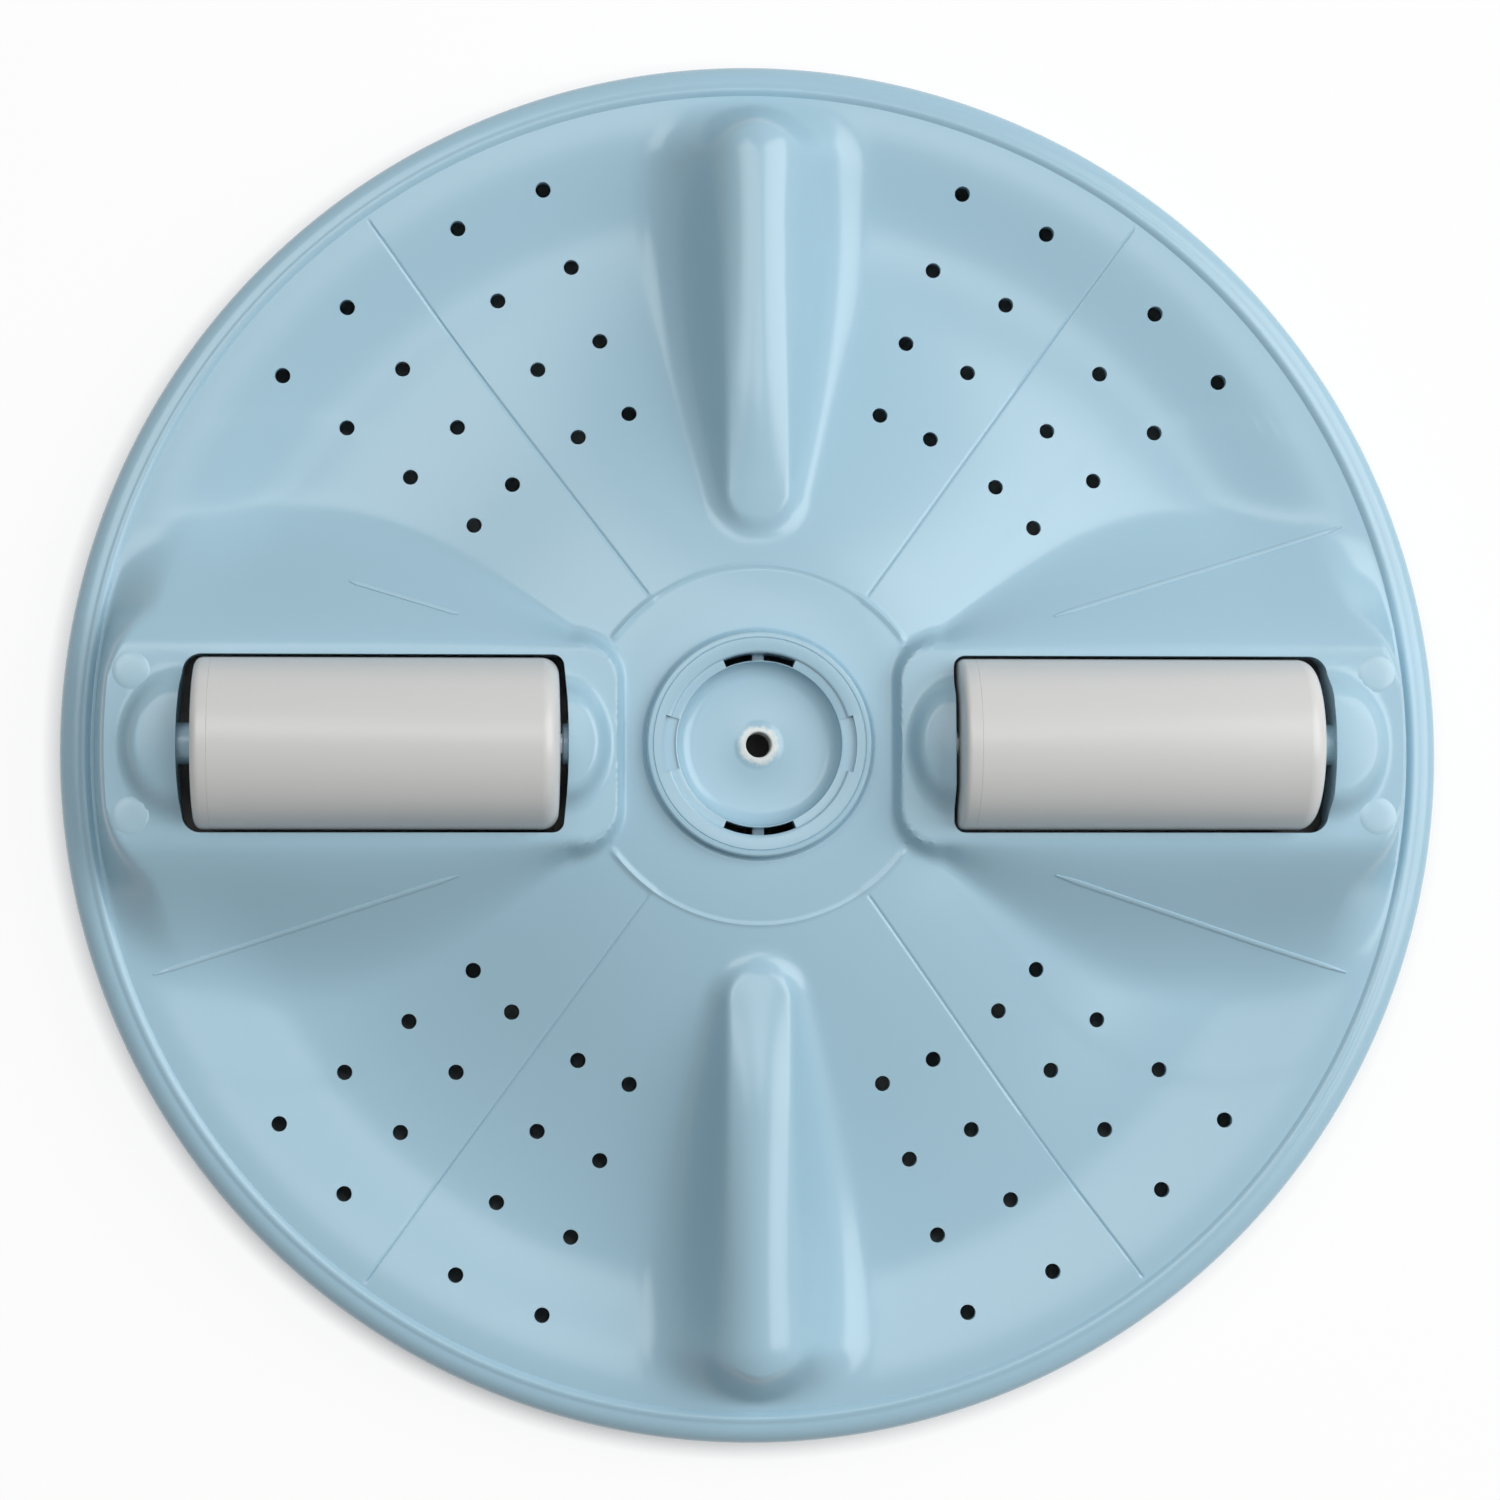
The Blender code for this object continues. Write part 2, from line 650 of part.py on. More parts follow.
def centre_fillings():
    """Drive boss and ribs that stand in the hollow of the disc."""
    half = RIB_THICKNESS / 2
    ring = [
        (HUB_RING_RADIUS - half, RIB_BOTTOM_Z),
        (HUB_RING_RADIUS + half, RIB_BOTTOM_Z),
        (HUB_RING_RADIUS + half, FORM_TOP_Z),
        (HUB_RING_RADIUS - half, FORM_TOP_Z),
    ]
    fillings = [
        rod_along_z("drive boss", BOSS_RADIUS, 0, 0, BOSS_BOTTOM_Z, FORM_TOP_Z, MIDDLE_ROUND),
        turned("hub ring rib", ring, MIDDLE_ROUND, RING_PHASE),
    ]
    for degrees in RIB_ANGLES:
        low = (BOSS_RADIUS / 2, -half, RIB_BOTTOM_Z)
        high = (DISC_RADIUS - WALL / 2, half, FORM_TOP_Z)
        fillings.append(turn(block("radial rib", low, high), math.radians(degrees)))
    return fillings


def hub_cutters():
    """Cap seat, recess, slots, notches and holes of the hub."""
    top = COLLAR_TOP_Z + REACH
    profile = [
        (0, RECESS_FLOOR_Z + SCREW_SEAT_HEIGHT),
        (SCREW_SEAT_RADIUS, RECESS_FLOOR_Z + SCREW_SEAT_HEIGHT),
        (SCREW_SEAT_RADIUS + SCREW_SEAT_HEIGHT, RECESS_FLOOR_Z),
    ]
    profile += arc_points(
        RECESS_RADIUS - RECESS_FILLET, RECESS_FLOOR_Z + RECESS_FILLET, RECESS_FILLET,
        -math.pi / 2, 0, 3,
    )
    profile += [
        (RECESS_RADIUS, CAP_SEAT_Z),
        (CAP_SEAT_RADIUS, CAP_SEAT_Z),
        (CAP_SEAT_RADIUS, top),
        (0, top),
    ]
    socket_top = BOSS_BOTTOM_Z + INSERT_LENGTH + CLEARANCE
    cutters = [
        turned("recess", profile, LARGE_ROUND, RECESS_PHASE),
        rod_along_z("screw hole", SCREW_HOLE_RADIUS, 0, 0, socket_top - CLEARANCE, top, SMALL_ROUND),
        rod_along_z(
            "insert socket", INSERT_RADIUS + CLEARANCE, 0, 0, BOSS_BOTTOM_Z - REACH, socket_top,
            MIDDLE_ROUND,
        ),
    ]
    for middle in (math.pi / 2, -math.pi / 2):
        cutters.append(
            sector(
                "cap slot", CAP_SLOT_INNER, CAP_SLOT_OUTER, middle, CAP_SLOT_HALF_ANGLE,
                RECESS_FLOOR_Z - WALL - CLEARANCE, top, SLOT_STEPS,
            )
        )
    for middle in (0, math.pi):
        cutters.append(
            sector(
                "pry notch", RECESS_RADIUS + CLEARANCE, PRY_NOTCH_RADIUS, middle,
                PRY_NOTCH_HALF_ANGLE, CAP_SEAT_Z - CAP_SEAT_DEPTH, top, NOTCH_STEPS,
            )
        )
    return cutters


def side_cutters():
    """Window, blind bore, open saddle and pilot holes of one roller."""
    window = prism("window", window_outline(0), -REACH, FORM_TOP_Z + REACH)
    combine(window, stubs(), "DIFFERENCE")
    bore = rod_along_x(
        "blind bore", BORE_RADIUS, PIN_INNER_X - CLEARANCE, ROLLER_INNER_X, ROLLER_AXIS_Z, SMALL_ROUND
    )
    outline = arc_points(0, ROLLER_AXIS_Z, BORE_RADIUS, 0, math.pi, 6)
    outline += [(-BORE_RADIUS, CRADLE_BOTTOM_Z - REACH), (BORE_RADIUS, CRADLE_BOTTOM_Z - REACH)]
    ends = (ROLLER_OUTER_X, CRADLE_OUTER_X + REACH / 2)
    saddle = lofted("saddle", [[(x, y, z) for y, z in outline] for x in ends])
    cutters = [window, bore, saddle]
    for y in (-SCREW_HALF_SPACING, SCREW_HALF_SPACING):
        cutters.append(
            rod_along_z(
                "pilot hole", SCREW_SHANK_RADIUS + CLEARANCE, SCREW_X, y,
                CRADLE_BOTTOM_Z - REACH, PAD_Z - PILOT_COVER, TINY_ROUND,
            )
        )
    return cutters


def drain_holes():
    """All drain holes as one cutter, mirrored into the four quarters."""
    bm = bmesh.new()
    for quarter in range(4):
        for row in HOLE_ROWS:
            angle = math.radians(row)
            if quarter % 2:
                angle = math.pi - angle
            if quarter > 1:
                angle = -angle
            for index in range(HOLE_RING_COUNT):
                ring = HOLE_FIRST_RING + HOLE_RING_PITCH * index
                place = Matrix.Translation((ring * math.cos(angle), ring * math.sin(angle), 0))
                bmesh.ops.create_cone(
                    bm, cap_ends=True, segments=HOLE_SIDES, radius1=HOLE_RADIUS,
                    radius2=HOLE_RADIUS, depth=2 * FORM_TOP_Z, matrix=place,
                )
    return as_object("drain holes", bm)


def flatten(item):
    """Make one face of neighbours that lie in one plane."""
    bm = bmesh.new()
    bm.from_mesh(item.data)
    bmesh.ops.dissolve_limit(bm, angle_limit=FLAT_ANGLE, verts=bm.verts, edges=bm.edges)
    bm.to_mesh(item.data)
    bm.free()


def arc_bead(middle):
    """Raised arc round the hub, standing a little above the dish."""
    half = ARC_BEAD_WIDTH / 2
    return sector(
        "arc bead", ARC_BEAD_RADIUS - half, ARC_BEAD_RADIUS + half, middle, ARC_BEAD_HALF_ANGLE,
        FORM_BOTTOM_Z, dish_z(ARC_BEAD_RADIUS) + ARC_BEAD_HEIGHT, BEAD_STEPS,
    )


def boss_discs():
    """Low discs on the pads over the retainer screws of one hump."""
    top = PAD_Z + SCREW_BOSS_LIFT
    return [
        rod_along_z("boss disc", SCREW_BOSS_RADIUS, SCREW_X, y, RIM_Z, top, SMALL_ROUND)
        for y in (-SCREW_HALF_SPACING, SCREW_HALF_SPACING)
    ]


def build_disc(name):
    """The one moulding: its outside less the core, then every cut."""
    disc = disc_form()
    disc.name = name
    raise_forms(disc, 0, FORM_STEPS, FLANK_STEPS, END_STEPS)
    core = core_form()
    raise_forms(core, WALL, CORE_FORM_STEPS, CORE_FLANK_STEPS, CORE_END_STEPS)
    details = [arc_bead(math.pi / 2), arc_bead(-math.pi / 2)]
    fillings = centre_fillings()
    cutters = hub_cutters() + [drain_holes()]
    for side in (0, math.pi):
        details += [turn(disc_top, side) for disc_top in boss_discs()]
        fillings += [turn(filling, side) for filling in side_fillings()]
        cutters += [turn(cutter, side) for cutter in side_cutters()]
    combine(disc, details, "UNION")
    combine(core, fillings, "DIFFERENCE")
    combine(disc, [core], "DIFFERENCE")
    combine(disc, cutters, "DIFFERENCE")
    flatten(disc)
    return disc


def build_insert(name):
    """Steel sleeve with an internal spline, moulded into the drive boss."""
    outside = []
    inside = []
    points_a_tooth = 4
    count = SPLINE_TEETH * points_a_tooth
    for index in range(count):
        angle = 2 * math.pi * index / count
        radius = SPLINE_TIP_RADIUS if index % points_a_tooth < 2 else SPLINE_ROOT_RADIUS
        inside.append((radius * math.cos(angle), radius * math.sin(angle)))
        outside.append((INSERT_RADIUS * math.cos(angle), INSERT_RADIUS * math.sin(angle)))
    bm = bmesh.new()
    top = BOSS_BOTTOM_Z + INSERT_LENGTH
    loops = []
    for outline, z in ((outside, BOSS_BOTTOM_Z), (outside, top), (inside, top), (inside, BOSS_BOTTOM_Z)):
        loops.append([bm.verts.new((x, y, z)) for x, y in outline])
    for near, far in zip(loops, loops[1:] + loops[:1]):
        for index in range(count):
            after = (index + 1) % count
            bm.faces.new((near[index], near[after], far[after], far[index]))
    return as_object(name, bm)


def build_roller(name):
    """Hollow roller: domed and closed at one end, open at the end that the cap fills."""
    end = ROLLER_LENGTH / 2
    edge = ROLLER_DOME_EDGE
    open_end = -end + ROLLER_CAP_RIM + CLEARANCE
    inner = ROLLER_RADIUS - ROLLER_WALL
    profile = [
        (BORE_RADIUS, end),
        *arc_points(ROLLER_RADIUS - edge, end - edge, edge, math.pi / 2, 0, 4),
        (ROLLER_RADIUS, open_end),
        (inner, open_end),
        (inner, end - edge),
        (inner - edge + ROLLER_WALL, end - ROLLER_WALL),
        (ROLLER_HUB_RADIUS, end - ROLLER_WALL),
        (ROLLER_HUB_RADIUS, end - ROLLER_HUB_LENGTH),
        (BORE_RADIUS, end - ROLLER_HUB_LENGTH),
    ]
    return turned(name, profile, ROLLER_SEGMENTS)


def build_end_cap(name):
    """Cap pressed into the roller's open end, with its own hub."""
    end = -ROLLER_LENGTH / 2
    edge = ROLLER_CAP_EDGE
    face = end + ROLLER_CAP_RIM
    spigot = ROLLER_RADIUS - ROLLER_WALL - CLEARANCE
    profile = [
        (ROLLER_RADIUS, face),
        *arc_points(ROLLER_RADIUS - edge, end + edge, edge, 0, -math.pi / 2, 2),
        (BORE_RADIUS, end),
        (BORE_RADIUS, end + ROLLER_HUB_LENGTH),
        (ROLLER_HUB_RADIUS, end + ROLLER_HUB_LENGTH),
        (ROLLER_HUB_RADIUS, end + ROLLER_WALL),
        (spigot - ROLLER_WALL, end + ROLLER_WALL),
        (spigot - ROLLER_WALL, face + END_CAP_SPIGOT),
        (spigot, face + END_CAP_SPIGOT),
        (spigot, face),
    ]
    return turned(name, profile, ROLLER_SEGMENTS)


def build_pin(name):
    """Plain steel pin with chamfered ends, drawn about its own middle."""
    half = (PIN_OUTER_X - PIN_INNER_X) / 2
    chamfer = PIN_CHAMFER
    profile = [
        (0, -half),
        (PIN_RADIUS - chamfer, -half),
        (PIN_RADIUS, -half + chamfer),
        (PIN_RADIUS, half - chamfer),
        (PIN_RADIUS - chamfer, half),
        (0, half),
    ]
    return turned(name, profile, SMALL_ROUND)


def build_retainer(name):
    """Plate under the outer bearing, with a saddle for the pin and a stop behind it."""
    ear = RETAINER_EAR_RADIUS
    tongue_x = WINDOW_OUTER_X + CLEARANCE
    outline = arc_points(SCREW_X, -SCREW_HALF_SPACING, ear, math.pi, 2 * math.pi, 6)
    outline += arc_points(SCREW_X, SCREW_HALF_SPACING, ear, 0, math.pi, 6)
    outline += [
        (SCREW_X - ear, RETAINER_TONGUE_HALF_WIDTH),
        (tongue_x, RETAINER_TONGUE_HALF_WIDTH),
        (tongue_x, -RETAINER_TONGUE_HALF_WIDTH),
        (SCREW_X - ear, -RETAINER_TONGUE_HALF_WIDTH),
    ]
    retainer = prism(name, outline, RETAINER_BOTTOM_Z, RETAINER_TOP_Z)
    saddle = block(
        "saddle block",
        (tongue_x, -PIN_RADIUS, RETAINER_TOP_Z - RETAINER_THICKNESS / 2),
        (CRADLE_OUTER_X, PIN_RADIUS, ROLLER_AXIS_Z - PIN_RADIUS / 2),
    )
    stop = block(
        "stop",
        (PIN_OUTER_X + CLEARANCE, -RETAINER_STOP_HALF_WIDTH, RETAINER_TOP_Z - RETAINER_THICKNESS / 2),
        (
            PIN_OUTER_X + CLEARANCE + RETAINER_STOP_THICKNESS,
            RETAINER_STOP_HALF_WIDTH,
            PAD_Z - WALL - CLEARANCE,
        ),
    )
    combine(retainer, [saddle, stop], "UNION")
    groove_end = PIN_OUTER_X + CLEARANCE / 2
    cutters = [
        rod_along_x(
            "pin groove", BORE_RADIUS, tongue_x - REACH, groove_end, ROLLER_AXIS_Z, SMALL_ROUND
        )
    ]
    for y in (-SCREW_HALF_SPACING, SCREW_HALF_SPACING):
        cutters.append(
            rod_along_z(
                "screw hole", SCREW_SHANK_RADIUS + CLEARANCE, SCREW_X, y,
                RETAINER_BOTTOM_Z - REACH, RETAINER_TOP_Z + REACH, TINY_ROUND,
            )
        )
    combine(retainer, cutters, "DIFFERENCE")
    return retainer


def build_screw(name):
    """Pan-head self-tapping screw, drawn with its head down and its shank up."""
    profile = [
        (0, -SCREW_HEAD_HEIGHT),
        (SCREW_HEAD_TOP_RADIUS, -SCREW_HEAD_HEIGHT),
        (SCREW_HEAD_RADIUS, -SCREW_HEAD_HEIGHT + SCREW_HEAD_EDGE),
        (SCREW_HEAD_RADIUS, 0),
        (SCREW_SHANK_RADIUS, 0),
        (SCREW_SHANK_RADIUS, SCREW_LENGTH - SCREW_POINT),
        (0, SCREW_LENGTH),
    ]
    return turned(name, profile, TINY_ROUND)


def finish(item, colour, roughness, metallic, parent=None):
    """Give a piece its material, smooth shading and parent."""
    material = bpy.data.materials.new(item.name)
    material.use_nodes = True
    shader = material.node_tree.nodes["Principled BSDF"]
    shader.inputs["Base Color"].default_value = (*colour, 1)
    shader.inputs["Roughness"].default_value = roughness
    shader.inputs["Metallic"].default_value = metallic
    item.data.materials.clear()
    item.data.materials.append(material)
    item.data.shade_smooth()
    item.data.set_sharp_from_angle(angle=math.radians(28))
    item.parent = parent
    return item


def main():
    """Build every piece of the pulsator."""
    clear_scene()
    blue = (0.40, 0.55, 0.64)
    cream = (0.62, 0.62, 0.59)
    steel = (0.60, 0.60, 0.60)
    finish(build_disc("pulsator_disc"), blue, 0.35, 0)
    finish(build_insert("shaft_insert"), steel, 0.35, 1)
    for side, angle in (("right", 0), ("left", math.pi)):
        frame = bpy.data.objects.new(side + " side", None)
        frame.rotation_euler = (0, 0, angle)
        bpy.context.scene.collection.objects.link(frame)
        along_x = (0, math.pi / 2, 0)
        for piece in (build_roller(side + "_roller"), build_end_cap(side + "_roller_end_cap")):
            finish(piece, cream, 0.4, 0)
            piece.location = (math.cos(angle) * ROLLER_CENTRE_X, 0, ROLLER_AXIS_Z)
            piece.rotation_euler = along_x
        pin = finish(build_pin(side + "_axle_pin"), steel, 0.25, 1, frame)
        pin.location = ((PIN_INNER_X + PIN_OUTER_X) / 2, 0, ROLLER_AXIS_Z)
        pin.rotation_euler = along_x
        finish(build_retainer(side + "_axle_retainer"), blue, 0.4, 0, frame)
        for number, y in ((1, -SCREW_HALF_SPACING), (2, SCREW_HALF_SPACING)):
            screw = finish(build_screw("%s_retainer_screw_%d" % (side, number)), steel, 0.3, 1, frame)
            screw.location = (SCREW_X, y, RETAINER_BOTTOM_Z - CLEARANCE)


main()
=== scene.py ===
import math

import bmesh
import bpy
import numpy as np
from mathutils import Matrix, Vector


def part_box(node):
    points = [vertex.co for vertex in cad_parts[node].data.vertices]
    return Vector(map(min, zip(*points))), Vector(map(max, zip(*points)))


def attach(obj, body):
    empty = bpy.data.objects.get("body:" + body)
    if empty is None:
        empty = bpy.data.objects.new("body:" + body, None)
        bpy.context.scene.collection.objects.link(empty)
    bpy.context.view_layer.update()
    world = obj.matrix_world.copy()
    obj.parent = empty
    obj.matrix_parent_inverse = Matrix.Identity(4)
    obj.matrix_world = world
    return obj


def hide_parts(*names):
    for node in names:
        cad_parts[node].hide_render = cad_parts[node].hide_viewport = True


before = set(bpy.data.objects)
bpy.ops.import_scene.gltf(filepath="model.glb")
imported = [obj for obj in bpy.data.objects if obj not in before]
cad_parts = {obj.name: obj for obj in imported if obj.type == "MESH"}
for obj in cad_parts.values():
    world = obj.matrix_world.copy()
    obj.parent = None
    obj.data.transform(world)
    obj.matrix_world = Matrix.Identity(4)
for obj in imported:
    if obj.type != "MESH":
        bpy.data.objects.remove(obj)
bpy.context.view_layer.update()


# The disc: one injection moulding in pale blue polypropylene, a thin shell with a turned-down
# skirt. Its dish carries two roller humps and two plain ridges, all faired into it. The whole
# wall is one ring-by-ring skin: hub, dish, rim, skirt and the hollow side back to the drive boss.

# Rim and dish.
DISC_RADIUS = 0.1700
RIM_FOOT = 0.1622
RIM_Z = 0.0195
RIM_BEAD_WIDTH = 0.0028
RIM_ROUND = 0.0045
SKIRT_CORNER = 0.0030
LOW_RING = 0.1276
LOW_RING_Z = 0.0143
SHELL_WALL = 0.0025
COLUMNS = 392
# Hub, from the collar in to the screw hole, and the drive boss under it.
HUB_Z = 0.0345
COLLAR_RADIUS = 0.0274
COLLAR_TOP = 0.0382
RECESS_FLOOR = 0.0330
RECESS_RADIUS = 0.0200
RECESS_FILLET = 0.0040
CAP_SEAT_Z = 0.0373
SEAT_INNER = 0.0202
SEAT_OUTER = 0.0221
SEAT_WALL = 0.0223
NOTCH_DEPTH = 0.0005
ABOVE_HUB = 0.045
SCREW_HOLE = 0.0031
SOCKET_RADIUS = 0.0128
SOCKET_TOP = 0.0243
BOSS_RADIUS = 0.0172
BOSS_BOTTOM = 0.0040
# Roller humps: the pad, the flanks that widen outwards, and the domes over the pin's ends
# (along, across, height, share where the edge starts to fall).
AXIS_Z = 0.0360
PAD_Z = 0.0380
PAD_FLAT = 0.0236
HUMP_INNER = 0.0323
HUMP_CORNER = 0.0130
HUMP_NEAR = 0.0285
HUMP_WIDE = 0.0605
HUMP_GROWTH = 0.0660
HUMP_TUCK = 0.0050
HUMP_TUCK_LENGTH = 0.035
HUMP_NOSE = 0.0022
HUMP_END = 0.1572
HUMP_END_BACK = 0.0092
HUMP_STOP = 0.1614
OUTER_DOME = (0.0146, 0.0184, 0.0056, 0.66)
INNER_DOME = (0.0122, 0.0168, 0.0054, 0.60)
WINDOW_INNER = 0.04715
WINDOW_OUTER = 0.13985
WINDOW_HALF = 0.0215
WINDOW_INNER_CORNER = 0.0028
WINDOW_OUTER_CORNER = 0.0045
WINDOW_OUTER_BOW = 0.0012
WINDOW_LEFT_BOW = 0.0010
# Plain ridges.
RIDGE_NOSE = 0.0620
RIDGE_TIP = 0.1450
RIDGE_HALF = 0.0080
RIDGE_STOP = 0.1610
RIDGE_FOOT = 0.0138
RIDGE_FOOT_GROWTH = 0.0172
RIDGE_END = 0.1522
RIDGE_END_BACK = 0.0060
RIDGE_FALL = 0.1612
RIDGE_TOP_LOW = 0.0341
RIDGE_TOP_RISE = 0.0031
RIDGE_SOFT = 0.12
RIDGE_CROWN = 0.13
RIDGE_HOLLOW = 2.15
# Arcs round the hub, the four grooves and the drain holes.
HUB_RING = 0.0437
ARC_START = math.radians(35.5)
ARC_HALF = 0.00075
ARC_HALF_MORE = 0.00045
ARC_HEIGHT = 0.00034
ARC_HEIGHT_MORE = 0.00026
GROOVE_DEPTH = 0.00038
GROOVE_HALF = 0.00048
GROOVE_EDGE = 0.00075
GROOVE_START = 0.0446
GROOVE_STOP = 0.1616
SPOKE_ANGLE = math.radians(53.8)
FIRST_HOLES = 0.088
HOLE_PITCH = 0.020
HOLE_RADIUS = 0.0019
HOLE_ROWS = (38.3, 47.3, 60.35, 69.35)


def eased(share):
    """Smooth rise from 0 to 1, level at both ends."""
    return 0.5 - 0.5 * np.cos(np.pi * np.clip(share, 0.0, 1.0))


def dish_level(radius):
    """The dish between the collar and the rim bead."""
    inner = (HUB_Z - LOW_RING_Z) * eased((LOW_RING - radius) / (LOW_RING - COLLAR_RADIUS))
    outer = (RIM_Z - LOW_RING_Z) * eased((radius - LOW_RING) / (RIM_FOOT - LOW_RING))
    return LOW_RING_Z + np.where(radius < LOW_RING, inner, outer)


def fall(share, cut, skew=1.0, soft=0.03):
    """Height left down a flank: level at the top, with a small fillet where it meets the dish."""
    left = 1.0 - eased(cut * np.clip(share, 0.0, 1.6) ** skew) / eased(cut)
    return (left + np.sqrt(left * left + soft * soft)) / (1.0 + math.sqrt(1.0 + soft * soft)) * (share < 1.6)


def hump_share(x, y):
    """1 on the pad round a roller, 0 off the hump."""
    corner_x = HUMP_INNER + HUMP_CORNER
    beyond = np.maximum(x - corner_x, 0.0)
    foot = HUMP_NEAR + (HUMP_WIDE - HUMP_NEAR) * np.sin(np.pi / 2 * np.minimum(beyond / HUMP_GROWTH, 1.0))
    foot = foot - HUMP_TUCK * (np.maximum(beyond - HUMP_GROWTH, 0.0) / HUMP_TUCK_LENGTH) ** 2
    behind = np.maximum(corner_x - x, 0.0)
    across = np.maximum(y - (HUMP_NEAR - HUMP_CORNER), 0.0)
    turn = np.where(behind > 0, np.arctan2(across, np.maximum(behind, 1e-9)) / (np.pi / 2), 1.0)
    inside = np.where(behind > 0, HUMP_CORNER - np.hypot(behind, across), foot - y)
    nose = HUMP_NOSE + (HUMP_NEAR - PAD_FLAT - HUMP_NOSE) * turn ** 1.5
    width = np.where(behind > 0, nose, foot - PAD_FLAT)
    side = fall(1.0 - inside / width, 0.87, 0.72)
    start = HUMP_END - HUMP_END_BACK * np.clip((y - 0.0140) / 0.0200, 0.0, 1.0) ** 2
    end = fall((np.hypot(x, y) - start) / (HUMP_STOP - start), 0.74)
    return side * end


def ridge_share(x, y):
    """1 along the top of a plain ridge, 0 off it: a round-topped finger with hollow flanks."""
    along = np.clip((y - RIDGE_NOSE) / (RIDGE_STOP - RIDGE_NOSE), 0.0, 1.0)
    foot = RIDGE_FOOT + RIDGE_FOOT_GROWTH * np.sin(np.pi / 2 * along)
    ahead = np.maximum(RIDGE_NOSE - y, 0.0) + np.maximum(y - RIDGE_TIP, 0.0)
    off = np.hypot(x, ahead)
    share = np.clip((off - RIDGE_HALF + 0.0008) / (foot - RIDGE_HALF + 0.0008), 0.0, 1.0)
    soft = RIDGE_SOFT ** 2
    share = (np.sqrt(share * share + soft) - RIDGE_SOFT) / (math.sqrt(1.0 + soft) - RIDGE_SOFT)
    side = (1.0 - RIDGE_CROWN * np.minimum(off / RIDGE_HALF, 1.0) ** 2) * (1.0 - share) ** RIDGE_HOLLOW
    start = RIDGE_END - RIDGE_END_BACK * np.clip(x / 0.0120, 0.0, 1.0) ** 1.5
    return side * fall((np.hypot(x, y) - start) / (RIDGE_FALL - start), 0.95)


def dome(x, y, centre, along, across, height, edge):
    """Low rounded bulge over one end of a roller's axle, its edge falling from a share of its size."""
    off = np.sqrt(((x - centre) / along) ** 2 + (y / across) ** 2)
    return height * (1.0 - 0.22 * np.minimum(off, 1.0) ** 2) * (1.0 - eased((off - edge) / (1.0 - edge)))


def top_level(x, y):
    """Outside of the moulding between the collar and the rim bead."""
    radius = np.hypot(x, y)
    x, y = np.abs(x), np.abs(y)
    ground = dish_level(radius)
    crest = RIDGE_TOP_LOW + RIDGE_TOP_RISE * eased((y - 0.0510) / 0.0400)
    level = ground + (PAD_Z - ground) * hump_share(x, y)
    level = level + np.maximum(crest - ground, 0.0) * ridge_share(x, y)
    level = level + dome(x, y, WINDOW_OUTER, *OUTER_DOME)
    level = level + dome(x, y, WINDOW_INNER, *INNER_DOME)
    angle = np.arctan2(y, x)
    start = np.clip((angle - ARC_START) / math.radians(1.2), 0.0, 1.0)
    broad = 1.0 - eased((angle - SPOKE_ANGLE) / math.radians(2.0))
    bead = np.clip((radius - HUB_RING) / (ARC_HALF + ARC_HALF_MORE * broad), -1.0, 1.0)
    level = level + (ARC_HEIGHT + ARC_HEIGHT_MORE * broad) * np.cos(np.pi / 2 * bead) ** 2 * start
    off = radius * np.sin(angle - SPOKE_ANGLE)
    spoke = np.clip((radius - GROOVE_START) / 0.0010, 0.0, 1.0)
    spoke = spoke * np.clip((GROOVE_STOP - radius) / 0.0010, 0.0, 1.0)
    return level - GROOVE_DEPTH * np.clip(1.0 - np.abs(off) / GROOVE_HALF, 0.0, 1.0) * spoke


def under_level(x, y):
    """Inside of the moulding: one wall below the nearest part of its outside."""
    level = top_level(x, y) - SHELL_WALL
    for turn in range(8):
        angle = math.pi / 4 * turn
        for share in (0.5, 0.9):
            reach = share * SHELL_WALL
            drop = SHELL_WALL * math.sqrt(1.0 - share * share)
            beside = top_level(x + reach * math.cos(angle), y + reach * math.sin(angle))
            level = np.minimum(level, beside - drop)
    return level


def column_angles(count):
    """Directions of the skin's columns, closer beside the ridges and set onto the four grooves."""
    steps = 4000
    fan = np.linspace(0.0, math.pi / 2, steps + 1)
    beside_ridge = np.exp(-((fan - math.pi / 2) / 0.14) ** 2)
    beside_hump = np.exp(-(fan / 0.22) ** 2)
    density = 1.0 + 1.6 * beside_ridge + 0.6 * beside_hump
    grown = np.concatenate([[0.0], np.cumsum((density[1:] + density[:-1]) / 2)])
    quarter = np.interp(np.arange(count // 4) / (count // 4) * grown[-1], grown, fan)
    nearest = int(np.argmin(np.abs(quarter - SPOKE_ANGLE)))
    quarter = quarter + (SPOKE_ANGLE - quarter[nearest]) * np.interp(
        quarter, [0.0, SPOKE_ANGLE, math.pi / 2], [0.0, 1.0, 0.0])
    first = quarter
    second = math.pi - quarter[::-1]
    angles = np.concatenate([
        first, [math.pi / 2], second[:-1], math.pi + first, [1.5 * math.pi], math.pi + second[:-1]])
    spokes = [nearest, 2 * len(quarter) - nearest]
    spokes += [2 * len(quarter) + spoke for spoke in spokes]
    return angles, spokes


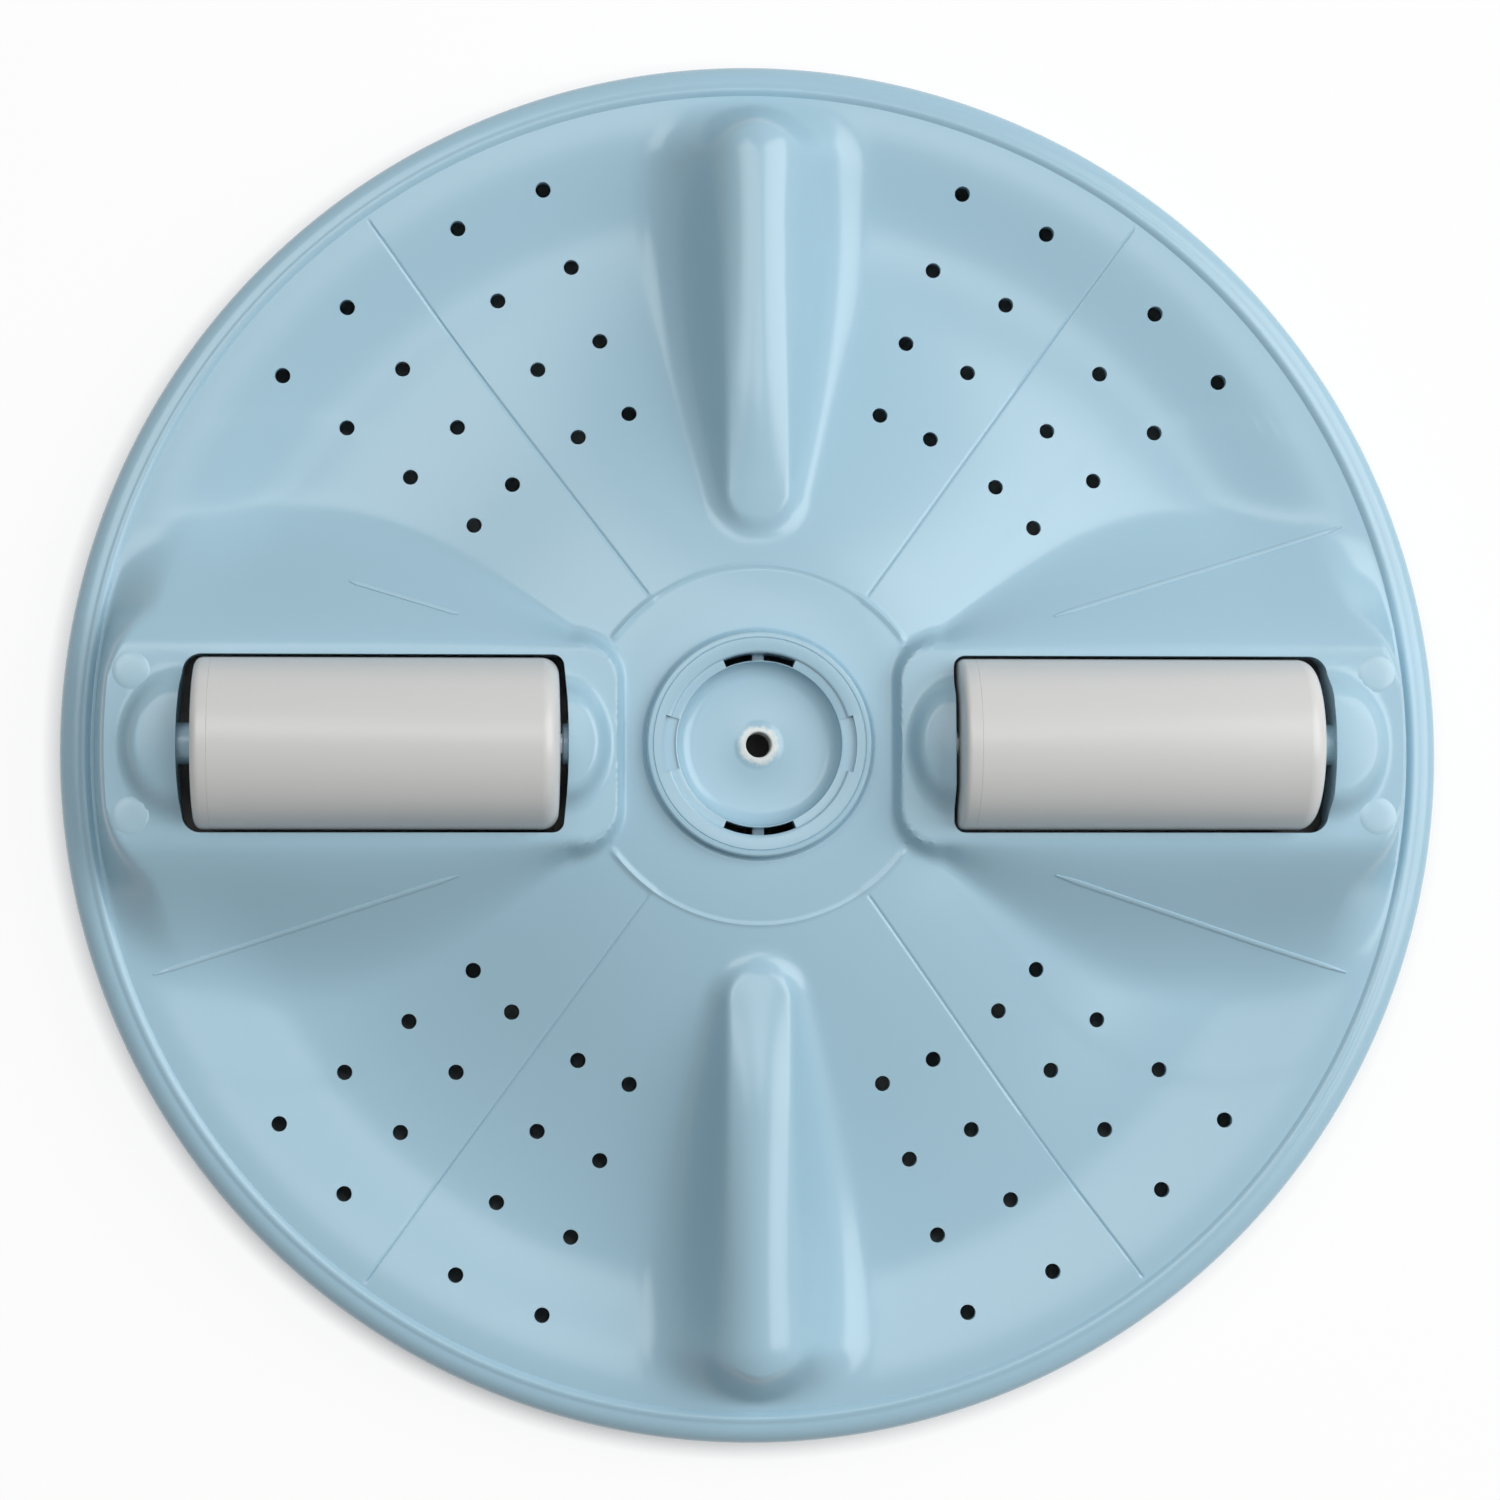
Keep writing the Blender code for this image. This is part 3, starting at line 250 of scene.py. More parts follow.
def skin_rings():
    """Every ring of the skin from the screw hole outwards and back underneath: (kind, radius, level)."""
    rings = [("at", SCREW_HOLE, SOCKET_TOP), ("at", SCREW_HOLE, RECESS_FLOOR + 0.0002)]
    rings += [("at", 0.0034, RECESS_FLOOR + 0.0005), ("at", 0.0050, RECESS_FLOOR + 0.0005)]
    rings += [("at", 0.0056, RECESS_FLOOR + 0.0001), ("at", 0.0064, RECESS_FLOOR)]
    rings += [("at", 0.0110, RECESS_FLOOR)]
    for step in range(9):
        angle = math.pi / 2 * step / 8
        rings.append(("at", 0.0160 + RECESS_FILLET * math.sin(angle),
                      RECESS_FLOOR + RECESS_FILLET * (1 - math.cos(angle))))
    rings += [("at", RECESS_RADIUS, CAP_SEAT_Z - 0.0001), ("at", SEAT_INNER, CAP_SEAT_Z)]
    rings += [("at", SEAT_OUTER, CAP_SEAT_Z), ("at", SEAT_WALL, CAP_SEAT_Z + 0.0002)]
    rings += [("at", SEAT_WALL, COLLAR_TOP - 0.0003), ("at", 0.0225, COLLAR_TOP - 0.0001)]
    rings += [("at", 0.0229, COLLAR_TOP), ("at", 0.0256, COLLAR_TOP), ("at", 0.0258, COLLAR_TOP - 0.00025)]
    rings += [("at", 0.0260, COLLAR_TOP - 0.00005), ("at", 0.0266, COLLAR_TOP - 0.00010)]
    edge = COLLAR_TOP - 0.00010
    for step in range(7):
        angle = math.pi / 2 * step / 6
        rings.append(("at", 0.0267 + 0.0006 * math.sin(angle), edge - 0.0009 * (1 - math.cos(angle))))
    rings += [("at", COLLAR_RADIUS, HUB_Z - 0.00020), ("at", COLLAR_RADIUS + 0.0002, HUB_Z - 0.00020)]
    radii = np.concatenate([
        np.arange(0.0279, 0.0310, 0.0008), np.arange(0.0313, 0.0453, 0.00048),
        np.arange(0.0456, 0.0480, 0.00080),
        np.arange(0.0480, 0.1480, 0.00140), np.arange(0.1484, RIM_FOOT - 0.0002, 0.00052)])
    rings += [("top", radius, 0.0) for radius in radii]
    for step in range(9):
        share = step / 8
        level = RIM_Z + 0.00055 * share + 0.0006 * math.sin(math.pi * share)
        rings.append(("at", RIM_FOOT + RIM_BEAD_WIDTH * share, level))
    for step in range(9):
        angle = math.pi / 2 * (1 - step / 8)
        rings.append(("at", 0.1655 + RIM_ROUND * math.cos(angle),
                      RIM_Z - 0.00395 + RIM_ROUND * math.sin(angle)))
    rings += [("at", DISC_RADIUS, 0.0010), ("at", DISC_RADIUS, 0.0004), ("at", DISC_RADIUS - 0.0004, 0.0)]
    outer = len(rings)
    rings += [("at", DISC_RADIUS - 0.0021, 0.0), ("at", DISC_RADIUS - SHELL_WALL, 0.0004)]
    for step in range(5):
        angle = math.pi / 2 * step / 4
        level = RIM_Z - SHELL_WALL - SKIRT_CORNER + SKIRT_CORNER * math.sin(angle)
        rings.append(("at", DISC_RADIUS - SHELL_WALL - SKIRT_CORNER * (1 - math.cos(angle)), level))
    rings.append(("at", 0.1632, RIM_Z - SHELL_WALL))
    radii = np.concatenate([
        np.arange(0.1600, 0.1470, -0.0013), np.arange(0.1455, 0.0490, -0.0028),
        np.arange(0.0480, 0.0290, -0.0010)])
    rings += [("under", radius, 0.0) for radius in radii]
    rings += [("at", 0.0274, HUB_Z - SHELL_WALL), ("at", 0.0225, RECESS_FLOOR - SHELL_WALL)]
    rings += [("at", 0.0180, RECESS_FLOOR - SHELL_WALL)]
    rings += [("at", BOSS_RADIUS, RECESS_FLOOR - SHELL_WALL - 0.0008), ("at", BOSS_RADIUS, 0.0045)]
    rings += [("at", 0.0167, BOSS_BOTTOM), ("at", 0.0130, BOSS_BOTTOM), ("at", SOCKET_RADIUS, 0.0042)]
    rings.append(("at", SOCKET_RADIUS, SOCKET_TOP))
    return rings, outer


def disc_skin():
    """The closed skin of the moulding, before the windows and holes are cut."""
    angles, spokes = column_angles(COLUMNS)
    rings, outer = skin_rings()
    verts = []
    rows = []
    for index, (kind, radius, level) in enumerate(rings):
        row_angles = angles if index < outer else angles[::2]
        x = radius * np.cos(row_angles)
        y = radius * np.sin(row_angles)
        if kind == "top":
            spread = np.array(row_angles)
            for spoke in spokes:
                for side in (-1, 1):
                    spread[spoke + side] = angles[spoke] + side * GROOVE_HALF / radius
                    spread[spoke + 2 * side] = angles[spoke] + side * GROOVE_EDGE / radius
            x = radius * np.cos(spread)
            y = radius * np.sin(spread)
            z = top_level(x, y)
        elif kind == "under":
            z = under_level(x, y)
        else:
            z = np.full(len(x), level)
        rows.append(np.arange(len(x)) + len(verts))
        verts.extend(zip(x.tolist(), y.tolist(), z.tolist()))
    faces = []
    for index, near in enumerate(rows):
        far = rows[(index + 1) % len(rows)]
        count = len(near)
        after = np.roll(near, -1)
        if len(far) == count:
            faces.extend(zip(near.tolist(), far.tolist(), np.roll(far, -1).tolist(), after.tolist()))
        elif len(far) < count:
            skip = np.roll(near, -2)[::2]
            ahead = np.roll(far, -1)
            faces.extend(zip(near[::2].tolist(), far.tolist(), after[::2].tolist()))
            faces.extend(zip(after[::2].tolist(), far.tolist(), ahead.tolist()))
            faces.extend(zip(after[::2].tolist(), ahead.tolist(), skip.tolist()))
        else:
            middle = far[1::2]
            ahead = np.roll(far, -2)[::2]
            faces.extend(zip(near.tolist(), far[::2].tolist(), middle.tolist()))
            faces.extend(zip(near.tolist(), middle.tolist(), after.tolist()))
            faces.extend(zip(after.tolist(), middle.tolist(), ahead.tolist()))
    mesh = bpy.data.meshes.new("moulding")
    mesh.from_pydata(verts, [], faces)
    item = bpy.data.objects.new("moulding", mesh)
    bpy.context.scene.collection.objects.link(item)
    return item


def mesh_piece(name, bm):
    """Turn a bmesh into a piece with its faces pointing out."""
    bmesh.ops.remove_doubles(bm, verts=bm.verts, dist=1e-7)
    bmesh.ops.recalc_face_normals(bm, faces=bm.faces)
    mesh = bpy.data.meshes.new(name)
    bm.to_mesh(mesh)
    bm.free()
    item = bpy.data.objects.new(name, mesh)
    bpy.context.scene.collection.objects.link(item)
    return item


def standing(name, outline, bottom, top):
    """Upright solid on an outline in X and Y."""
    bm = bmesh.new()
    base = bm.faces.new([bm.verts.new((x, y, bottom)) for x, y in outline])
    lifted = bmesh.ops.extrude_face_region(bm, geom=[base])["geom"]
    bmesh.ops.translate(bm, verts=[part for part in lifted if isinstance(part, bmesh.types.BMVert)],
                        vec=(0, 0, top - bottom))
    return mesh_piece(name, bm)


def arc(centre_x, centre_y, radius, start, end, steps):
    """Points along an arc, both ends included."""
    turns = [start + (end - start) * step / steps for step in range(steps + 1)]
    return [(centre_x + radius * math.cos(turn), centre_y + radius * math.sin(turn)) for turn in turns]


def window_edge(side, margin=0.0):
    """Outline of a roller window: its outer end is bowed, and on the left its inner end too."""
    low = WINDOW_INNER - margin
    high = WINDOW_OUTER - WINDOW_OUTER_BOW + margin
    half = WINDOW_HALF + margin
    small = WINDOW_INNER_CORNER
    large = WINDOW_OUTER_CORNER
    bow = WINDOW_LEFT_BOW if side < 0 else 0.0
    outline = []
    for step in range(1, 12):
        share = 1 - step / 6
        outline.append((low - bow * (1 - share * share), (half - small) * share))
    outline += arc(low + small, -half + small, small, math.pi, 1.5 * math.pi, 6)
    outline += arc(high - large, -half + large, large, -math.pi / 2, 0, 8)
    for step in range(1, 12):
        share = step / 6 - 1
        outline.append((high + WINDOW_OUTER_BOW * (1 - share * share), (half - large) * share))
    outline += arc(high - large, half - large, large, 0, math.pi / 2, 8)
    outline += arc(low + small, half - small, small, math.pi / 2, math.pi, 6)
    return [(side * x, side * y) for x, y in outline]


def ring_part(name, inner, outer, middle, half_angle, bottom, top):
    """Part of a flat ring, centred on one direction."""
    outline = arc(0, 0, inner, middle - half_angle, middle + half_angle, 16)
    outline += arc(0, 0, outer, middle + half_angle, middle - half_angle, 16)
    return standing(name, outline, bottom, top)


def cut_away(item, cutters):
    """Cut a group of solids out of a piece."""
    group = bpy.data.collections.new("cutters")
    for cutter in cutters:
        group.objects.link(cutter)
    modifier = item.modifiers.new("cut", "BOOLEAN")
    modifier.operation = "DIFFERENCE"
    modifier.solver = "EXACT"
    modifier.operand_type = "COLLECTION"
    modifier.collection = group
    graph = bpy.context.evaluated_depsgraph_get()
    item.data = bpy.data.meshes.new_from_object(item.evaluated_get(graph))
    item.modifiers.remove(modifier)
    for cutter in cutters:
        bpy.data.objects.remove(cutter, do_unlink=True)
    bpy.data.collections.remove(group)


def new_tree(name, inputs):
    """An empty Geometry Nodes tree with named inputs, and a short way to add its nodes."""
    tree = bpy.data.node_groups.new(name, "GeometryNodeTree")
    for label, kind in inputs:
        tree.interface.new_socket(label, in_out="INPUT", socket_type="NodeSocket" + kind)
    tree.interface.new_socket("Mesh", in_out="OUTPUT", socket_type="NodeSocketGeometry")
    entry = tree.nodes.new("NodeGroupInput")

    def add(kind, settings, links):
        made = tree.nodes.new(kind)
        for key, value in settings.items():
            setattr(made, key, value)
        for key, value in links.items():
            if isinstance(value, bpy.types.NodeSocket):
                tree.links.new(value, made.inputs[key])
            elif isinstance(value, str):
                tree.links.new(entry.outputs[value], made.inputs[key])
            else:
                made.inputs[key].default_value = value
        return made

    return tree, add


def grown_by_nodes(name, points, tree, values):
    """Run a tree on a cloud of points and keep the result as a plain mesh."""
    mesh = bpy.data.meshes.new(name)
    mesh.from_pydata(points, [], [])
    item = bpy.data.objects.new(name, mesh)
    bpy.context.scene.collection.objects.link(item)
    modifier = item.modifiers.new("repeat", "NODES")
    modifier.node_group = tree
    for socket in tree.interface.items_tree:
        if socket.name in values:
            modifier[socket.identifier] = values[socket.name]
    graph = bpy.context.evaluated_depsgraph_get()
    item.data = bpy.data.meshes.new_from_object(item.evaluated_get(graph))
    item.modifiers.remove(modifier)
    return item


def drain_hole_cutters():
    """Cutters for the drain holes: every row of directions carries the same rings of round holes."""
    directions = []
    for quarter in range(4):
        for row in HOLE_ROWS:
            turn = math.radians(row)
            turn = math.pi - turn if quarter % 2 else turn
            turn = -turn if quarter > 1 else turn
            directions.append((math.cos(turn), math.sin(turn), 0.0))
    tree, add = new_tree("drain_holes", (
        ("Directions", "Geometry"), ("First Ring", "Float"), ("Pitch", "Float"), ("Rings", "Int"),
        ("Hole Radius", "Float"), ("Plastic", "Material")))
    copies = add("GeometryNodeDuplicateElements", {"domain": "POINT"}, {0: "Directions", "Amount": "Rings"})
    further = add("ShaderNodeMath", {"operation": "MULTIPLY"}, {
        0: copies.outputs["Duplicate Index"], 1: "Pitch"})
    ring = add("ShaderNodeMath", {"operation": "ADD"}, {0: further.outputs[0], 1: "First Ring"})
    place = add("GeometryNodeInputPosition", {}, {})
    out = add("ShaderNodeVectorMath", {"operation": "SCALE"}, {
        0: place.outputs[0], "Scale": ring.outputs[0]})
    moved = add("GeometryNodeSetPosition", {}, {0: copies.outputs[0], "Position": out.outputs[0]})
    hole = add("GeometryNodeMeshCylinder", {}, {"Vertices": 20, "Radius": "Hole Radius", "Depth": 0.12})
    holes = add("GeometryNodeInstanceOnPoints", {}, {"Points": moved.outputs[0], "Instance": hole.outputs[0]})
    solid = add("GeometryNodeRealizeInstances", {}, {0: holes.outputs[0]})
    painted = add("GeometryNodeSetMaterial", {}, {0: solid.outputs[0], "Material": "Plastic"})
    add("NodeGroupOutput", {}, {0: painted.outputs[0]})
    return grown_by_nodes("drain holes", directions, tree, {
        "First Ring": FIRST_HOLES, "Pitch": HOLE_PITCH, "Rings": 4, "Hole Radius": HOLE_RADIUS})


moulding = disc_skin()
cutters = []
for side in (1, -1):
    cutters.append(standing("window", window_edge(side), -0.01, 0.07))
    middle = math.pi / 2 * side
    cutters.append(ring_part(
        "cap slot", SEAT_INNER, SEAT_OUTER, middle, math.radians(23.5), 0.0285, ABOVE_HUB))
    middle = 0 if side > 0 else math.pi
    cutters.append(ring_part(
        "pry notch", 0.0203, 0.0236, middle, math.radians(17), CAP_SEAT_Z - NOTCH_DEPTH, ABOVE_HUB))
cutters.append(drain_hole_cutters())
cut_away(moulding, cutters)
moulding.data.shade_smooth()
moulding.data.set_sharp_from_angle(angle=math.radians(38))


class Finish:
    """A value in a material, so that its maths is written as plain expressions."""

    def __init__(self, tree, socket=None):
        self.tree = tree
        self.socket = socket

    def node(self, kind, settings=None, values=None, output=0):
        """Any node: its settings first, then the values or links of its sockets."""
        made = self.tree.nodes.new(kind)
        for name, value in (settings or {}).items():
            if name == "stops":
                while len(made.color_ramp.elements) < len(value):
                    made.color_ramp.elements.new(0.5)
                for stop, (place, colour) in zip(made.color_ramp.elements, value):
                    stop.position = place
                    stop.color = (*colour, 1.0)
            else:
                setattr(made, name, value)
        for name, value in (values or {}).items():
            if isinstance(value, Finish):
                self.tree.links.new(value.socket, made.inputs[name])
            else:
                made.inputs[name].default_value = value
        return Finish(self.tree, made.outputs[output])

    def sum(self, operation, first, second):
        return self.node("ShaderNodeMath", {"operation": operation}, {0: first, 1: second})

    def __add__(self, other):
        return self.sum("ADD", self, other)

    def __radd__(self, other):
        return self.sum("ADD", other, self)

    def __sub__(self, other):
        return self.sum("SUBTRACT", self, other)

    def __rsub__(self, other):
        return self.sum("SUBTRACT", other, self)

    def __mul__(self, other):
        return self.sum("MULTIPLY", self, other)

    def __rmul__(self, other):
        return self.sum("MULTIPLY", other, self)

    def mixed(self, share, low, high):
        """Blend of two colours by a share from 0 to 1."""
        return self.node("ShaderNodeMix", {"data_type": "RGBA"}, {0: share, 6: low, 7: high}, output=2)


def new_finish(name):
    """An empty Principled material and the start of its expressions."""
    material = bpy.data.materials.new(name)
    material.use_nodes = True
    tree = material.node_tree
    shader = tree.nodes["Principled BSDF"]
    return material, shader, Finish(tree)


def plug_in(shader, name, value):
    """Link a varying value to one of the shader's sockets."""
    value.tree.links.new(value.socket, shader.inputs[name])


def moulded_plastic(name, colour, shadow, roughness, grain, grain_depth, highlight_and_wear_ring=0.0):
    """Moulded plastic: slow drift of colour, faint grain, and a pale ring round the hub screw: painted
    highlight with some wear.
    """
    material, shader, start = new_finish(name)
    place = start.node("ShaderNodeTexCoord", output=3)
    drift = start.node("ShaderNodeTexNoise", None, {"Vector": place, "Scale": 14.0, "Detail": 3.0})
    mottle = start.node("ShaderNodeTexNoise", None, {"Vector": place, "Scale": 420.0, "Detail": 4.0})
    fine = start.node("ShaderNodeTexNoise", None, {"Vector": place, "Scale": grain, "Detail": 3.0})
    share = 0.85 * drift + 0.10 * mottle
    tint = start.mixed(share, (*shadow, 1), (*colour, 1))
    # The pale ring round the screw hole is a painted highlight, with some wear.
    if highlight_and_wear_ring:
        flat = start.node("ShaderNodeVectorMath", {"operation": "MULTIPLY"}, {0: place, 1: (1.0, 1.0, 0.0)})
        away = start.node("ShaderNodeVectorMath", {"operation": "LENGTH"}, {0: flat}, output=1)
        ragged = start.node("ShaderNodeTexNoise", None, {"Vector": place, "Scale": 700.0, "Detail": 2.0})
        highlit_and_worn = (highlight_and_wear_ring + 0.0026 * ragged - away) * 900.0
        highlit_and_worn = start.node("ShaderNodeClamp", None, {0: highlit_and_worn})
        tint = start.mixed(highlit_and_worn, tint, (0.66, 0.71, 0.70, 1))
    plug_in(shader, "Base Color", tint)
    plug_in(shader, "Roughness", roughness - 0.02 + 0.04 * drift)
    bump = start.node("ShaderNodeBump", None, {
        "Strength": 0.035, "Distance": grain_depth, "Height": fine + 0.2 * mottle})
    plug_in(shader, "Normal", bump)
    shader.inputs["IOR"].default_value = 1.49
    return material


# The last value is the radius of the pale ring round the screw hole: a painted highlight, with some wear.
disc_plastic = moulded_plastic(
    "disc_plastic", (0.338, 0.520, 0.624), (0.316, 0.496, 0.602), 0.23, 2600.0, 0.00005, 0.0038)
moulding.data.materials.clear()
moulding.data.materials.append(disc_plastic)
for face in moulding.data.polygons:
    face.material_index = 0
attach(moulding, "pulsator")
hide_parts("pulsator_disc")


# Raised details of the same moulding: bearing stubs that centre each roller in its window, low
# discs over the retainer screws, and thin lines of flash down the flanks of the roller humps.
def gather(name, parts):
    """Join several solids into one piece."""
    bm = bmesh.new()
    for part in parts:
        bm.from_mesh(part.data)
        bpy.data.objects.remove(part, do_unlink=True)
    return mesh_piece(name, bm)


def rod_x(name, radius, start, end, columns, bevel=0.0004):
    """Round bar parallel to X on a roller's axis, its ends slightly broken."""
    bm = bmesh.new()
    rows = []
    sign = 1 if end > start else -1
    for size, along in ((radius - bevel, start), (radius, start + sign * bevel),
                        (radius, end - sign * bevel), (radius - bevel, end)):
        turns = [2 * math.pi * column / columns for column in range(columns)]
        rows.append([bm.verts.new((along, size * math.cos(turn), AXIS_Z + size * math.sin(turn)))
                     for turn in turns])
    for near, far in zip(rows, rows[1:]):
        for column in range(columns):
            after = (column + 1) % columns
            bm.faces.new((near[column], near[after], far[after], far[column]))
    bm.faces.new(rows[0])
    bm.faces.new(rows[-1])
    return mesh_piece(name, bm)


FLASH_HALF = 0.00085
FLASH_SECTION = ((-1.0, -0.0004), (-0.6, 0.00030), (0.0, 0.00045), (0.6, 0.00030), (1.0, -0.0004))
FLASH_START = (0.0725, 0.0317)
FLASH_REACH = (0.0740, 0.0237)
SHORT_FLASH = 0.36
STUB_RADIUS = 0.0050
INNER_STUB_END = 0.0477
OUTER_STUB_END = 0.1361
SCREW_PLACE = (WINDOW_OUTER + 0.0110, 0.0174)
SCREW_DISC_PROFILE = (
    (0.0046, -0.0010), (0.0045, 0.00002), (0.0040, 0.00022),
    (0.0032, 0.00035), (0.0020, 0.00042), (0.0008, 0.00045))


def flash_line(start, end):
    """Thin raised line over the surface between two points of the plan."""
    bm = bmesh.new()
    rows = []
    way = Vector((end[0] - start[0], end[1] - start[1])).normalized()
    side = Vector((-way.y, way.x))
    for step in range(41):
        share = step / 40
        centre = Vector(start).lerp(Vector(end), share)
        row = []
        width = FLASH_HALF * min(1.0, 12 * share + 0.3, 12 * (1 - share) + 0.3)
        for across, lift in FLASH_SECTION:
            point = centre + side * width * across
            level = float(top_level(np.array([point.x]), np.array([point.y]))[0])
            row.append(bm.verts.new((point.x, point.y, level + lift)))
        rows.append(row)
    for near, far in zip(rows, rows[1:]):
        for index in range(5):
            after = (index + 1) % 5
            bm.faces.new((near[index], near[after], far[after], far[index]))
    bm.faces.new(rows[0])
    bm.faces.new(rows[-1])
    return mesh_piece("flash line", bm)


def screw_disc(centre_x, centre_y):
    """Low disc on a pad, over one of the screws that hold a retainer."""
    bm = bmesh.new()
    rows = []
    for radius, lift in SCREW_DISC_PROFILE:
        rim = arc(centre_x, centre_y, radius, 0, 2 * math.pi, 36)[:-1]
        rows.append([bm.verts.new((x, y, PAD_Z + lift)) for x, y in rim])
    for near, far in zip(rows, rows[1:]):
        for column in range(36):
            after = (column + 1) % 36
            bm.faces.new((near[column], near[after], far[after], far[column]))
    bm.faces.new(rows[0])
    bm.faces.new(rows[-1])
    return mesh_piece("screw disc", bm)


stubs = []
pale = []
for side in (1, -1):
    stubs.append(rod_x("inner stub", STUB_RADIUS, side * (WINDOW_INNER - 0.0030), side * INNER_STUB_END, 32))
    stubs.append(rod_x("outer stub", STUB_RADIUS, side * (WINDOW_OUTER + 0.0030), side * OUTER_STUB_END, 32))
    for across in (1, -1):
        reach = SHORT_FLASH if (side, across) == (-1, 1) else 1.0
        near = (side * FLASH_START[0], across * FLASH_START[1])
        far = (side * (FLASH_START[0] + FLASH_REACH[0] * reach),
               across * (FLASH_START[1] + FLASH_REACH[1] * reach))
        pale.append(flash_line(near, far))
        pale.append(screw_disc(side * SCREW_PLACE[0], across * SCREW_PLACE[1]))
pale_plastic = moulded_plastic(
    "pale_plastic", (0.385, 0.562, 0.660), (0.360, 0.536, 0.636), 0.26, 2600.0, 0.00005)
for name, parts, finish in (("bearing_stubs", stubs, disc_plastic), ("flash_and_discs", pale, pale_plastic)):
    raised = gather(name, parts)
    raised.data.shade_smooth()
    raised.data.set_sharp_from_angle(angle=math.radians(40))
    raised.data.materials.append(finish)
    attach(raised, "pulsator")


# The hollow side of the same moulding: six radial ribs, a ring rib, and in each hump the lip round
# the window, the bearings of the roller's pin and the bosses of its retainer. They grow from the
# wall, so their tops end inside it, and their lower edges are slightly rounded.
RIB_BOTTOM = 0.0050
LIP_BOTTOM = 0.0280
CRADLE_BOTTOM = 0.0268
WALL_SINK = 0.0010
PIN_BORE = 0.0033
RIB_HALF = 0.0011
RIB_START = 0.0165
RIB_END = 0.1687
RIB_DEGREES = (53.8, 90.0, 126.2, 233.8, 270.0, 306.2)
LIP_HALF = 0.00085
LIP_MARGIN = 0.00095
CRADLE_HALF = 0.0155
CRADLE_WALL = 0.0038
BEARING_RADIUS = 0.0058
BEARING_START = 0.0392
BEARING_END = 0.0464
SCREW_BOSS_RADIUS = 0.0045


def buried_level(x, y):
    """A level inside the wall of the moulding, where what hangs under it ends."""
    radius = np.hypot(x, y)
    level = under_level(x, y) + WALL_SINK
    level = np.where(radius > 0.1600, RIM_Z - SHELL_WALL + WALL_SINK, level)
    return np.where(radius < 0.0290, RECESS_FLOOR - SHELL_WALL + WALL_SINK, level)


def hanging_wall(name, line, half, bottom, closed=False, ceiling=1.0):
    """Wall under the moulding along a line of the plan."""
    points = np.array(line)
    ahead = np.roll(points, -1, axis=0) if closed else np.vstack([points[1:], points[-1:]])
    behind = np.roll(points, 1, axis=0) if closed else np.vstack([points[:1], points[:-1]])
    way = ahead - behind
    way = way / np.hypot(way[:, 0], way[:, 1])[:, None]
    side = np.stack([-way[:, 1], way[:, 0]], axis=1)
    bm = bmesh.new()
    rows = []
    tops = []
    for sign in (-1, 1):
        edge = points + side * half * sign
        tops.append(np.minimum(buried_level(edge[:, 0], edge[:, 1]), ceiling))
    round_off = 0.0003
    for index, (x, y) in enumerate(points):
        across = side[index]
        section = ((half - round_off, bottom), (half, bottom + round_off), (half, tops[1][index]),
                   (-half, tops[0][index]), (-half, bottom + round_off), (round_off - half, bottom))
        rows.append([bm.verts.new((x + across[0] * off, y + across[1] * off, level))
                     for off, level in section])
    pairs = list(zip(rows, rows[1:])) + ([(rows[-1], rows[0])] if closed else [])
    for near, far in pairs:
        for index in range(6):
            after = (index + 1) % 6
            bm.faces.new((near[index], near[after], far[after], far[index]))
    if not closed:
        bm.faces.new(rows[0])
        bm.faces.new(rows[-1])
    return mesh_piece(name, bm)


def outer_cradle(side):
    """Plate at a window's outer end, with a slot open downwards that the pin is pushed up into."""
    outline = [(-CRADLE_HALF, CRADLE_BOTTOM), (-PIN_BORE, CRADLE_BOTTOM)]
    outline += arc(0, AXIS_Z, PIN_BORE, math.pi, 0, 12)
    outline += [(PIN_BORE, CRADLE_BOTTOM), (CRADLE_HALF, CRADLE_BOTTOM)]
    across = np.linspace(CRADLE_HALF, -CRADLE_HALF, 15)
    levels = buried_level(np.full(15, WINDOW_OUTER + 0.0018), across)
    outline += list(zip(across.tolist(), levels.tolist()))
    bm = bmesh.new()
    base = bm.faces.new([bm.verts.new((side * (WINDOW_OUTER + 0.0001), y, z)) for y, z in outline])
    lifted = bmesh.ops.extrude_face_region(bm, geom=[base])["geom"]
    bmesh.ops.translate(bm, verts=[part for part in lifted if isinstance(part, bmesh.types.BMVert)],
                        vec=(side * CRADLE_WALL, 0, 0))
    return mesh_piece("outer cradle", bm)


hollow = []
for degrees in RIB_DEGREES:
    turn = math.radians(degrees)
    line = [(radius * math.cos(turn), radius * math.sin(turn))
            for radius in np.linspace(RIB_START, RIB_END, 80)]
    hollow.append(hanging_wall("radial rib", line, RIB_HALF, RIB_BOTTOM))
ring_line = arc(0, 0, HUB_RING, 0, 2 * math.pi, 96)[:-1]
hollow.append(hanging_wall("ring rib", ring_line, RIB_HALF, RIB_BOTTOM + 0.0001, True))
for side in (1, -1):
    hollow.append(hanging_wall("window lip", window_edge(side, LIP_MARGIN), LIP_HALF, LIP_BOTTOM, True))
    line = [(side * along, 0.0) for along in np.linspace(RIB_START, BEARING_END, 16)]
    hollow.append(hanging_wall("bearing web", line, RIB_HALF, RIB_BOTTOM, ceiling=AXIS_Z))
    hollow.append(rod_x("inner bearing", BEARING_RADIUS, side * BEARING_START, side * BEARING_END, 32))
    hollow.append(outer_cradle(side))
    for across in (1, -1):
        centre_x, centre_y = side * SCREW_PLACE[0], across * SCREW_PLACE[1]
        level = float(buried_level(np.array([centre_x]), np.array([centre_y]))[0])
        outline = arc(centre_x, centre_y, SCREW_BOSS_RADIUS, 0, 2 * math.pi, 32)[:-1]
        hollow.append(standing("screw boss", outline, CRADLE_BOTTOM, level))
